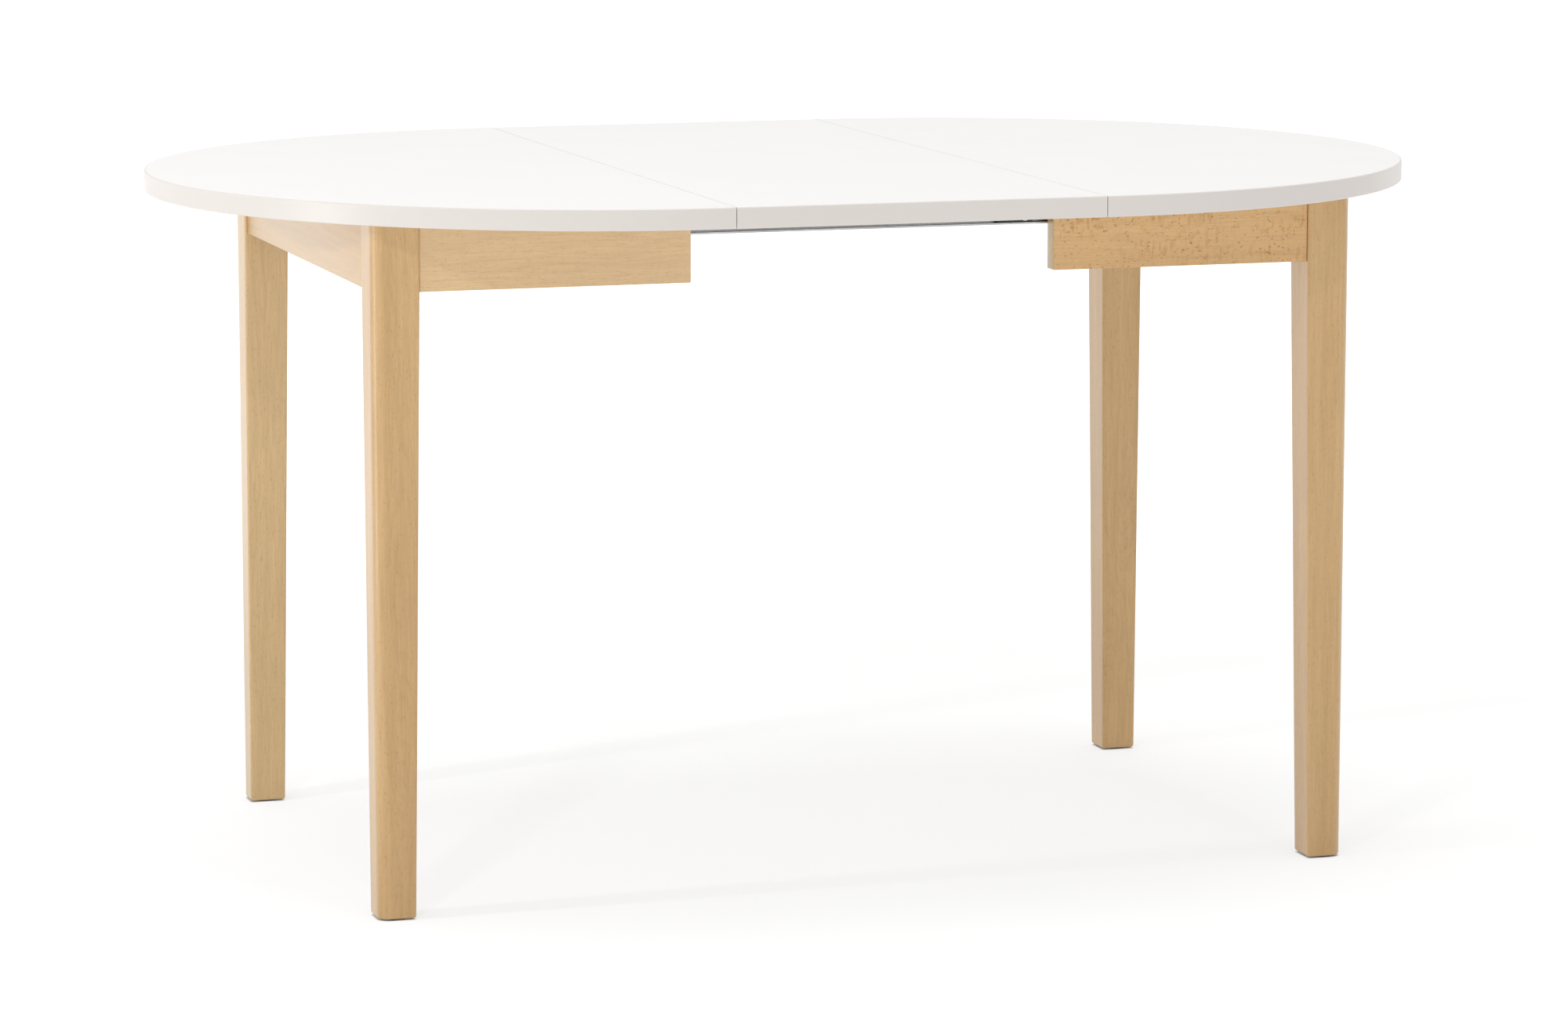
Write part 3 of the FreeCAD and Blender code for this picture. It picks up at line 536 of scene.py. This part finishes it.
plate_thickness = 0.0025
plate_wing = 0.030
plate_bend = 0.002
plate_edge_round = 0.0004
plate_gap = 0.004
plate_brightness = 0.55
plate_roughness = 0.38
bolt_radius = 0.004
bolt_tail = 0.005
bolt_in_leg = 0.035
bolt_sides = 24
thread_pitch = 0.00125
thread_depth = 0.0006
thread_rows = 6
nut_flat_radius = 0.0065
nut_height = 0.0065
nut_sides = 72
nut_top_radius = 0.0064
nut_bevel_radius = 0.0071
nut_bevel_middle = 0.0004
nut_bevel_depth = 0.0009
flange_radius = 0.0085
flange_thickness = 0.0015
flange_rim = 0.0010
flange_bevel = 0.0006
screw_radius = 0.002
screw_sides = 16
screw_tip_radius = 0.0003
screw_point = 0.004
screw_bite = 0.013
screw_head_radius = 0.0035
screw_head_height = 0.0024
screw_head_sides = 48
head_wall_rows = 3
head_dome_rows = 16
head_dome_drop = 0.55
head_middle_radius = 0.0001
recess_arm = 0.0019
recess_half_width = 0.00045
recess_depth = 0.0011
recess_sharpness = 4000
fastener_brightness = 0.60
fastener_roughness = 0.32


def build_zinc_plating():
    """Zinc plating on rolled steel: faint crystals of tone, and fine lines drawn along the third axis."""
    tree, given, result = new_group(
        "zinc_plating",
        {"Vector": "Vector", "Bright": "Color", "Dull": "Color", "Smooth": "Float", "Rough": "Float"})
    crystal_share = 0.5
    line_share = 0.5
    sheen_range = (0.2, 0.8)
    lines = noise(tree, given["Vector"], across=0.0004, along=0.060, detail=2.0)[0]
    crystals = cells(tree, given["Vector"], across=0.0035, along=0.0050)["Color"]
    tone = calculate(tree, "ADD", between(tree, crystals, 0, 1, 0, crystal_share),
                     between(tree, lines, *most_of_noise, 0, line_share))
    sheen = between(tree, tone, *sheen_range, given["Smooth"], given["Rough"])
    tree.links.new(mix_color(tree, "MIX", tone, given["Bright"], given["Dull"]), result["Color"])
    tree.links.new(sheen, result["Roughness"])
    tree.links.new(lines, result["Height"])
    return tree


def make_zinc(name, turn, brightness, roughness):
    """Zinc plating of that brightness and roughness, whose lines are turned to run along the piece."""
    bright_tint = (1.0, 1.005, 1.01)
    dull_tint = (0.82, 0.825, 0.835)
    swing = 0.06
    material, tree, shader, place = new_material(name)
    along = add_node(tree, "ShaderNodeMapping", {"Vector": place, "Rotation": turn}).outputs[0]
    bright = tuple(brightness * part for part in bright_tint)
    dull = tuple(brightness * part for part in dull_tint)
    looks = {"Vector": along, "Bright": bright + (1,), "Dull": dull + (1,), "Smooth": roughness - swing,
             "Rough": roughness + swing}
    dress(tree, shader, zinc_plating, looks, strength=0.08, relief=0.0001)
    shader.inputs["Metallic"].default_value = 1.0
    return material


def aimed(rings, place, direction):
    """A shape made along Z, turned to point along a direction and moved to its place."""
    steep = 0.5
    axis = np.array(direction, float) / np.linalg.norm(direction)
    helper = np.array([0, 0, 1.0]) if abs(axis[2]) < steep else np.array([1.0, 0, 0])
    side = np.cross(helper, axis)
    side /= np.linalg.norm(side)
    return np.array(place) + rings @ np.stack([side, np.cross(axis, side), axis])


def screw_head():
    """A pan head in polar rows: a short wall, then a dome that falls away with the square of the radius,
    sunk by two crossed slots with sloping walls."""
    wall = np.full(head_wall_rows, screw_head_radius)
    dome = np.linspace(screw_head_radius, head_middle_radius, head_dome_rows)
    radius = np.concatenate([wall, dome])[:, None]
    angle = np.linspace(0, 2 * pi, screw_head_sides, endpoint=False)
    x = radius * np.cos(angle)
    y = radius * np.sin(angle)
    height = screw_head_height * (1 - head_dome_drop * (radius / screw_head_radius) ** 2)

    def slot(cross, length):
        """The share of its depth that a slot has: all in the middle, sloping up at the sides and ends."""
        width = np.clip((recess_half_width - np.abs(cross)) * recess_sharpness + 0.5, 0, 1)
        return width * np.clip((recess_arm - np.abs(length)) * recess_sharpness / 2, 0, 1)

    height = height - recess_depth * np.maximum(slot(x, y), slot(y, x))
    wall_height = (1 - head_dome_drop) * screw_head_height
    height[:head_wall_rows] = np.linspace(0, wall_height, head_wall_rows)[:, None]
    return np.stack([x, y, height], axis=-1)


def screw(place, direction, length):
    """A wood screw whose head looks back along the direction that it is driven in, and its plain shank."""
    back = -np.array(direction, float)
    profile = [(screw_tip_radius, -length), (screw_radius, screw_point - length), (screw_radius, 0)]
    shank = turned(profile, screw_sides)
    return [skin(aimed(screw_head(), place, back)), skin(aimed(shank, place, back))]


def threaded(radius, start, stop):
    """A threaded rod: the radius dips by a triangle wave of the height less the share of the turn."""
    height = np.arange(start, stop, thread_pitch / thread_rows)[:, None]
    angle = np.linspace(0, 2 * pi, bolt_sides, endpoint=False)
    turn = height / thread_pitch - angle / (2 * pi)
    dip = np.abs(2 * (turn % 1) - 1) * thread_depth
    near_end = np.clip((stop - height) / (2 * thread_depth), 0, 1)
    width = radius - np.maximum(dip, thread_depth * (1 - near_end))
    return polar(width, angle, height)


def flange_nut():
    """A hexagon on a washer face, in rows from the washer up to the rim of the hole. The hexagon's radius
    is the flat's distance over the cosine of the angle from the flat's middle, held to a smaller one where
    the upper corners are bevelled."""
    angle = np.linspace(0, 2 * pi, nut_sides, endpoint=False)
    from_flat = (angle + pi / 6) % (pi / 3) - pi / 6
    hexagon = nut_flat_radius / np.cos(from_flat)
    bevelled = np.minimum(hexagon, nut_bevel_radius)
    top = flange_thickness + nut_height
    washer = [(flange_radius, 0), (flange_radius, flange_rim),
              (flange_radius - flange_bevel, flange_thickness)]
    nut = [(hexagon, flange_thickness + flange_bevel), (hexagon, top - nut_bevel_depth),
           (bevelled, top - nut_bevel_middle), (nut_top_radius, top), (bolt_radius, top)]
    return np.stack([polar(radius, angle, height) for radius, height in washer + nut])


zinc_plating = build_zinc_plating()
plate_zinc = make_zinc("zinc_plates", grain_upright, plate_brightness, plate_roughness)
fastener_zinc = make_zinc("zinc_fasteners", grain_upright, fastener_brightness, fastener_roughness)
for side in sides:
    bolts = []
    nuts = []
    plate_screws = []
    for row in rows:
        node = f"{row}_{side}_corner_plate"
        low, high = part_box(node)
        outward = np.array([sides[side], rows[row]])
        corner = np.where(outward > 0, (high.x, high.y), (low.x, low.y))
        span = high.x - low.x
        knee = span - plate_wing
        inner = plate_thickness
        inner_knee = knee + plate_thickness * (sqrt(2) - 1)
        corners = [(span, 0), (span, inner), (inner_knee, inner), (inner, inner_knee), (inner, span),
                   (0, span), (0, knee), (knee, 0)]
        ends = [plate_edge_round] * 2
        radii = ends + [plate_bend] * 2 + ends + [plate_bend + plate_thickness] * 2
        outline = corner - outward * rounded(corners, radii)
        rings = [lifted(outline, height) for height in (low.z, high.z)]
        put_piece(node, "zinc_steel", plate_zinc, [skin(rings)])

        height = (low.z + high.z) / 2
        inward = np.array([*-outward, 0]) / sqrt(2)
        plate_seat = np.array([*(corner - outward * inner_knee / 2 - outward * inner / 2), height])
        flat = plate_seat - inward * (plate_gap + plate_thickness)
        tail = plate_gap + plate_thickness + flange_thickness + nut_height + bolt_tail
        bolts.append(skin(aimed(threaded(bolt_radius, -bolt_in_leg, tail), flat, inward)))
        nuts.append(skin(aimed(flange_nut(), plate_seat, inward)))
        wing = corner - outward * (span - plate_wing / 2)
        face = corner - outward * plate_thickness
        plate_screws += screw((wing[0], face[1], height), (0, outward[1], 0), plate_thickness + screw_bite)
        plate_screws += screw((face[0], wing[1], height), (outward[0], 0, 0), plate_thickness + screw_bite)
    put_piece(f"{side}_hanger_bolts", "zinc_steel", fastener_zinc, bolts)
    put_piece(f"{side}_leg_nuts", "zinc_steel", fastener_zinc, nuts)
    put_piece(f"{side}_plate_screws", "zinc_steel", fastener_zinc, plate_screws)

# Channels: short lengths of folded zinc-plated steel, screwed along the inner faces of the side aprons.
# They hold the tails of the slide shoes and keep the rails level with the aprons.

channel_wall = 0.0015
channel_bend = 0.002
channel_inner_bend = 0.0005
channel_edge_round = 0.0004
shoe_tail = 0.025
runner_screw_margin = 0.015
runner_brightness = 0.55
runner_roughness = 0.36
bend_steps = 5
bend_ease = 0.00003
runner_zinc = make_zinc("zinc_runners", grain_along, runner_brightness, runner_roughness)


def upright(outline, x):
    """An outline of (y, z) pairs, stood up at a place along X."""
    return np.column_stack([np.full(len(outline), x), outline])


def folded_strip(section, radii, start, stop):
    """A section of (depth, height) pairs with bent corners, carried straight along X."""
    outline = rounded(section, radii, steps=bend_steps, ease=bend_ease)
    return np.stack([upright(outline, x) for x in (start, stop)])


for side, outward in sides.items():
    runner_screws = []
    for row, into_apron in rows.items():
        node = f"{row}_{side}_channel"
        low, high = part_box(node)
        face = high.y if row == "back" else low.y
        depth = high.y - low.y
        half = (high.z - low.z) / 2
        inside = half - channel_wall
        section = np.array([(0, -half), (depth, -half), (depth, -inside), (channel_wall, -inside),
                            (channel_wall, inside), (depth, inside), (depth, half), (0, half)])
        middle = (low.z + high.z) / 2
        placed = np.column_stack([face - into_apron * section[:, 0], middle + section[:, 1]])
        edges = [channel_edge_round] * 2
        bends = [channel_bend] + edges + [channel_inner_bend] * 2 + edges + [channel_bend]
        put_piece(node, "zinc_steel", runner_zinc, [skin(folded_strip(placed, bends, low.x, high.x))])
        ends = sorted((low.x, high.x), key=abs)
        first = ends[0] + outward * (shoe_tail + runner_screw_margin)
        last = ends[1] - outward * runner_screw_margin
        for x in (first, (first + last) / 2, last):
            seat = (x, face - into_apron * channel_wall, middle)
            runner_screws += screw(seat, (0, into_apron, 0), channel_wall + screw_bite)
    put_piece(f"{side}_runner_screws", "zinc_steel", fastener_zinc, runner_screws)

# Slide shoes: black moulded plastic blocks at the ends of the channels, on which the rails run.
# A natural nylon button pressed into each takes the rub of the rail's lips.

shoe_length = 0.040
shoe_round = 0.0012
shoe_black = (0.020, 0.020, 0.021)
shoe_roughness = 0.42
tail_round = 0.0006
tail_fit = 0.00005
rail_gap = 0.001
rail_wall = 0.0012
rail_fit = 0.0002
button_place = 0.031
button_radius = 0.0075
button_depth = 0.003
button_proud = 0.0005
button_round = 0.0004
button_shoulder = 0.0001
button_sides = 48
button_white = (0.800, 0.780, 0.720)
button_roughness = 0.40
black_plastic = make_plastic("black_plastic", shoe_black, shoe_roughness)
nylon = make_plastic("nylon_buttons", button_white, button_roughness)


def block(low, high, radius):
    """A box with all its edges rounded: rounded rectangles stacked along X, drawn in at both ends."""
    def outline(inset, x):
        """One rounded rectangle at a place along X, drawn in by the inset."""
        corners = [(low[1] + inset, low[2] + inset), (high[1] - inset, low[2] + inset),
                   (high[1] - inset, high[2] - inset), (low[1] + inset, high[2] - inset)]
        return upright(rounded(corners, [radius] * 4, steps=bend_steps, ease=bend_ease), x)

    eased = quarter_round(radius, steps=bend_steps)
    rings = [outline(inset, low[0] + rise) for inset, rise in eased]
    return np.array(rings + [outline(inset, high[0] - rise) for inset, rise in reversed(eased)])


for side, outward in sides.items():
    buttons = []
    for row, into_apron in rows.items():
        node = f"{row}_{side}_shoe"
        low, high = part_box(node)
        channel_low, channel_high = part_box(f"{row}_{side}_channel")
        channel_edge, apron_face = sorted((channel_low.y, channel_high.y), key=abs)
        shoe_face = apron_face - into_apron * (rail_gap + rail_wall + rail_fit)
        shoe_back = min(low.y, high.y, key=abs)
        start = min(low.x, high.x, key=abs)
        knee = start + outward * shoe_length
        end = max(low.x, high.x, key=abs)
        head_y = sorted((shoe_face, shoe_back))
        head_x = sorted((start, knee))
        head = block((head_x[0], head_y[0], low.z), (head_x[1], head_y[1], high.z), shoe_round)
        tail_y = sorted((apron_face - into_apron * (channel_wall + tail_fit), channel_edge))
        tail_x = sorted((knee - outward * shoe_round, end))
        half = (channel_high.z - channel_low.z) / 2 - channel_wall - tail_fit
        middle = (low.z + high.z) / 2
        tail_low = (tail_x[0], tail_y[0], middle - half)
        tail_high = (tail_x[1], tail_y[1], middle + half)
        tail = block(tail_low, tail_high, tail_round)
        put_piece(node, "black_plastic", black_plastic, [skin(head), skin(tail)])
        profile = [(button_radius, -button_depth), (button_radius, button_proud - button_round),
                   (button_radius - button_shoulder, button_proud - button_shoulder),
                   (button_radius - button_round, button_proud)]
        place = (start + outward * button_place, shoe_face, middle)
        buttons.append(skin(aimed(turned(profile, button_sides), place, (0, into_apron, 0))))
    put_piece(f"{side}_shoe_buttons", "nylon", nylon, buttons)

# Rails: lipped channels of folded zinc-plated steel, which slide on the shoes and bridge the gap between
# the halves. A tab pressed in near each end stops against the shoe, and black pads on top carry the leaf.

rail_bend = 0.0016
rail_lip = 0.0008
rail_lip_bend = 0.0012
rail_inner_bend = 0.0008
rail_edge_round = 0.0002
stop_thickness = 0.002
stop_end = 0.002
stop_half_height = 0.004
stop_reach = 0.0025
stop_round = 0.0003
pad_length = 0.040
pad_round = 0.0004
for row, into_apron in rows.items():
    node = f"{row}_rail"
    low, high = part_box(node)
    depth = high.y - low.y
    half = (high.z - low.z) / 2
    inside = half - rail_wall
    lip = inside - rail_lip
    web = depth - rail_wall
    section = np.array([(0, -half), (depth, -half), (depth, half), (0, half), (0, lip), (rail_wall, lip),
                        (rail_wall, inside), (web, inside), (web, -inside), (rail_wall, -inside),
                        (rail_wall, -lip), (0, -lip)])
    open_face = high.y if row == "back" else low.y
    middle = (low.z + high.z) / 2
    placed = np.column_stack([open_face - into_apron * section[:, 0], middle + section[:, 1]])
    edges = [rail_edge_round] * 3
    bends = [rail_lip_bend, rail_bend, rail_bend, rail_lip_bend] + edges + [rail_inner_bend] * 2 + edges
    shells = [skin(folded_strip(placed, bends, low.x, high.x))]
    web_y = open_face - into_apron * web
    tab_y = sorted((web_y, web_y + into_apron * stop_reach))
    for start in (low.x + stop_end, high.x - stop_end - stop_thickness):
        tab_low = (start, tab_y[0], middle - stop_half_height)
        tab_high = (start + stop_thickness, tab_y[1], middle + stop_half_height)
        shells.append(skin(block(tab_low, tab_high, stop_round)))
    put_piece(node, "zinc_steel", runner_zinc, shells)

    low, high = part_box(f"{row}_rail_pads")
    shells = [skin(block((start, low.y, low.z), (start + pad_length, high.y, high.z), pad_round))
              for start in (low.x, high.x - pad_length)]
    put_piece(f"{row}_rail_pads", "black_plastic", black_plastic, shells)

# Half tops: particle board with white laminate on both faces, cut to a half disc.
# A white edge band, 2 mm thick and rounded above and below, is glued round the curve.

band_thickness = 0.002
band_round = 0.0016
seam_ease = 0.00005
arc_steps = 257
laminate_white = (0.880, 0.870, 0.856)
edging_white = (0.766, 0.720, 0.681)


def make_white(name, color, roughness, peel_size, peel):
    """White surfacing: a fine peel, a faint cloudiness of tone, and a sheen that varies a little."""
    return make_even(name, color, roughness, dark_share=0.996, swing=0.04, cloud_size=0.120,
                     cloud_detail=3.0, grain_size=peel_size, strength=peel)


def seam_steps(low, high):
    """How far a board's seam stands in, and at which height, where its lower and upper edges are eased."""
    return ((seam_ease, low.z), (0, low.z + seam_ease), (0, high.z - seam_ease), (seam_ease, high.z))


def half_disc(radius, inset, height):
    """The half disc's outline: an arc about the middle of the seam, closed by the seam itself, which may
    stand in by an inset."""
    angle = np.linspace(-1, 1, arc_steps) * np.arccos(inset / radius)
    return polar(radius, angle, height)


laminate = make_white("white_laminate", laminate_white, roughness=0.38, peel_size=0.0009, peel=0.12)
edging = make_white("white_edging", edging_white, roughness=0.36, peel_size=0.0022, peel=0.10)
for side, outward in sides.items():
    low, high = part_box(f"{side}_top")
    radius = (high.y - low.y) / 2
    rings = np.array([half_disc(radius, inset, height) for inset, height in seam_steps(low, high)])
    rings[..., 0] = outward * (rings[..., 0] + seam)
    put_piece(f"{side}_top", "white_laminate", laminate, [skin(rings)])

    low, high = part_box(f"{side}_edge_band")
    outer = (high.y - low.y) / 2
    inner = outer - band_thickness
    corners = [(inner, low.z), (outer, low.z), (outer, high.z), (inner, high.z)]
    section = rounded(corners, [0, band_round, band_round, 0])
    angle = np.linspace(-pi / 2, pi / 2, arc_steps)[:, None]
    rings = polar(section[:, 0], angle, section[:, 1])
    rings[..., 0] = outward * (rings[..., 0] + seam)
    put_piece(f"{side}_edge_band", "white_edging", edging, [skin(rings)])

    seat = underside - screw_seat_depth
    screws = [shell for x, y in top_screw_places[side]
              for shell in screw((x, y, seat), (0, 0, 1), screw_seat_depth + screw_bite)]
    put_piece(f"{side}_top_screws", "zinc_steel", fastener_zinc, screws)

# Leaf: a loose board of the same make as the half tops, banded on its two outer edges.
# It lies on the pads of the rails, and four pegs under it drop into their holes.

peg_radius = 0.004
peg_taper = 0.002
peg_sides = 32
leaf_low, leaf_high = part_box("leaf_panel")


def leaf_ring(inset, height):
    """The leaf's outline at a height, drawn in at its two seams."""
    left = leaf_low.x + inset
    right = leaf_high.x - inset
    corners = [(left, leaf_low.y), (right, leaf_low.y), (right, leaf_high.y), (left, leaf_high.y)]
    return lifted(corners, height)


rings = [leaf_ring(inset, height) for inset, height in seam_steps(leaf_low, leaf_high)]
put_piece("leaf_panel", "white_laminate", laminate, [skin(rings)])
for row in rows:
    node = f"leaf_{row}_band"
    low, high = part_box(node)
    corners = [(low.y, low.z), (high.y, low.z), (high.y, high.z), (low.y, high.z)]
    radii = [0, band_round, band_round, 0] if row == "back" else [band_round, 0, 0, band_round]
    outline = rounded(corners, radii)
    put_piece(node, "white_edging", edging, [skin([upright(outline, x) for x in (low.x, high.x)])])
low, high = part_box("leaf_pegs")
profile = [(peg_radius - peg_taper, low.z), (peg_radius, low.z + peg_taper), (peg_radius, high.z)]
pegs = [skin(turned(profile, peg_sides) + np.array([x, y, 0]))
        for x in (low.x + peg_radius, high.x - peg_radius)
        for y in (low.y + peg_radius, high.y - peg_radius)]
put_piece("leaf_pegs", "nylon", nylon, pegs)

# Studio: a pale floor that keeps a faint shadow, a white surround, a broad soft light overhead and three
# small lamps, each with a twin that lights only the floor, where the legs draw streaks. A tall white card
# on the left shows only in reflections. The camera stands where the photograph was taken from.

floor_reach = 60.0
floor_white = (0.88, 0.88, 0.88, 1)
floor_seen = (0.33, 0.33, 0.33, 1)
floor_glow = 0.678
# How near the glides ambient occlusion dims the floor's glow: painted contact shade under the feet.
contact_shade_reach = 0.003
contact_samples = 4
floor_shaded_reach = 1.2
floor_white_reach = 2.4
pure_white = (1, 1, 1, 1)
surround_level = 0.57
overhead_from = (0.0, 0.08, 1.0)
overhead_strength = 1.13
overhead_spread = radians(32)
lamps = {
    "left_lamp": {"place": (-2.45, -0.40, 1.35), "radius": 0.04, "table": 29.5, "floor": 29.5},
    "front_left_lamp": {"place": (-1.93, -2.80, 2.70), "radius": 0.10, "table": 54.0, "floor": 28.0},
    "front_lamp": {"place": (0.75, -3.00, 2.80), "radius": 0.10, "table": 20.0, "floor": 9.0},
}
card_place = (-1.95, -0.35, 0.60)
card_width = 0.30
card_height = 1.30
card_power = 5.0
camera_place = (-1.8366, -5.9165, 1.3115)
camera_yaw = radians(17.298)
camera_pitch = radians(8.740)
camera_lens = 129.18
camera_sensor = 36.0


def seen_directly(tree):
    """One where the camera, a reflection or a see-through surface looks at it, zero for other light."""
    path = add_node(tree, "ShaderNodeLightPath").outputs
    seen = calculate(tree, "MAXIMUM", path["Is Camera Ray"], path["Is Glossy Ray"])
    return calculate(tree, "MAXIMUM", seen, path["Is Transmission Ray"])


def put_in_studio(name, data):
    """An object for the floor, a light or the camera, linked to the scene."""
    thing = bpy.data.objects.new(name, data)
    bpy.context.scene.collection.objects.link(thing)
    return thing


floor_mesh = bpy.data.meshes.new("floor")
reach = np.array([(-1, -1, 0), (1, -1, 0), (1, 1, 0), (-1, 1, 0)]) * floor_reach
floor_mesh.from_pydata(reach.tolist(), [], [(0, 1, 2, 3)])
floor = put_in_studio("floor", floor_mesh)
floor_paint = bpy.data.materials.new("floor_paint")
floor_paint.use_nodes = True
tree = floor_paint.node_tree
tree.nodes.clear()
matt = add_node(tree, "ShaderNodeBsdfDiffuse", {"Color": floor_white}).outputs[0]
lit = add_node(tree, "ShaderNodeBsdfDiffuse", {"Color": floor_seen}).outputs[0]
place = add_node(tree, "ShaderNodeTexCoord").outputs["Object"]
distance = add_node(tree, "ShaderNodeVectorMath", {0: place}, operation="LENGTH").outputs["Value"]
evenness = between(tree, distance, floor_shaded_reach, floor_white_reach, floor_glow, 1.0)
# The glow is multiplied by ambient occlusion a few millimetres deep, so painted contact shade darkens the
# floor under and round the glides.
open_sky = add_node(tree, "ShaderNodeAmbientOcclusion", {"Distance": contact_shade_reach},
                    samples=contact_samples).outputs["AO"]
level = calculate(tree, "MULTIPLY", evenness, open_sky)
glow = add_node(tree, "ShaderNodeEmission", {"Color": pure_white, "Strength": level}).outputs[0]
pictured = add_node(tree, "ShaderNodeAddShader", {0: lit, 1: glow}).outputs[0]
seen = seen_directly(tree)
upper_side = add_node(tree, "ShaderNodeMixShader", {0: seen, 1: matt, 2: pictured}).outputs[0]
lower_side = add_node(tree, "ShaderNodeBsdfTransparent").outputs[0]
from_below = add_node(tree, "ShaderNodeNewGeometry").outputs["Backfacing"]
one_sided = add_node(tree, "ShaderNodeMixShader", {0: from_below, 1: upper_side, 2: lower_side}).outputs[0]
add_node(tree, "ShaderNodeOutputMaterial", {"Surface": one_sided})
floor_mesh.materials.append(floor_paint)

world = bpy.data.worlds.new("studio")
bpy.context.scene.world = world
world.use_nodes = True
tree = world.node_tree
level = between(tree, seen_directly(tree), 0, 1, surround_level, 1.0)
tree.links.new(level, tree.nodes["Background"].inputs["Strength"])
tree.nodes["Background"].inputs["Color"].default_value = pure_white

overhead_data = bpy.data.lights.new("overhead", "SUN")
overhead_data.energy = overhead_strength
overhead_data.angle = overhead_spread
overhead = put_in_studio("overhead", overhead_data)
overhead.rotation_mode = "QUATERNION"
overhead.rotation_quaternion = Vector(overhead_from).to_track_quat("Z", "Y")
floor_only = bpy.data.collections.new("floor_only")
floor_only.objects.link(floor)
for name, lamp in lamps.items():
    for purpose in ("table", "floor"):
        lamp_data = bpy.data.lights.new(f"{name}_{purpose}", "POINT")
        lamp_data.energy = lamp[purpose]
        lamp_data.shadow_soft_size = lamp["radius"]
        lamp_object = put_in_studio(lamp_data.name, lamp_data)
        lamp_object.location = lamp["place"]
        lamp_object.visible_camera = False
        lamp_object.visible_glossy = False
        if purpose == "floor":
            lamp_object.light_linking.receiver_collection = floor_only
card_data = bpy.data.lights.new("card", "AREA")
card_data.shape = "RECTANGLE"
card_data.size = card_width
card_data.size_y = card_height
card_data.energy = card_power
card = put_in_studio("card", card_data)
card.location = card_place
card.rotation_euler = (pi / 2, 0, -pi / 2)
card.visible_camera = False
card.visible_diffuse = False

camera_data = bpy.data.cameras.new("camera")
camera_data.lens = camera_lens
camera_data.sensor_width = camera_sensor
camera = put_in_studio("camera", camera_data)
camera.location = camera_place
camera.rotation_euler = (pi / 2 - camera_pitch, 0, -camera_yaw)
bpy.context.scene.camera = camera
bpy.context.scene.view_settings.view_transform = "Standard"
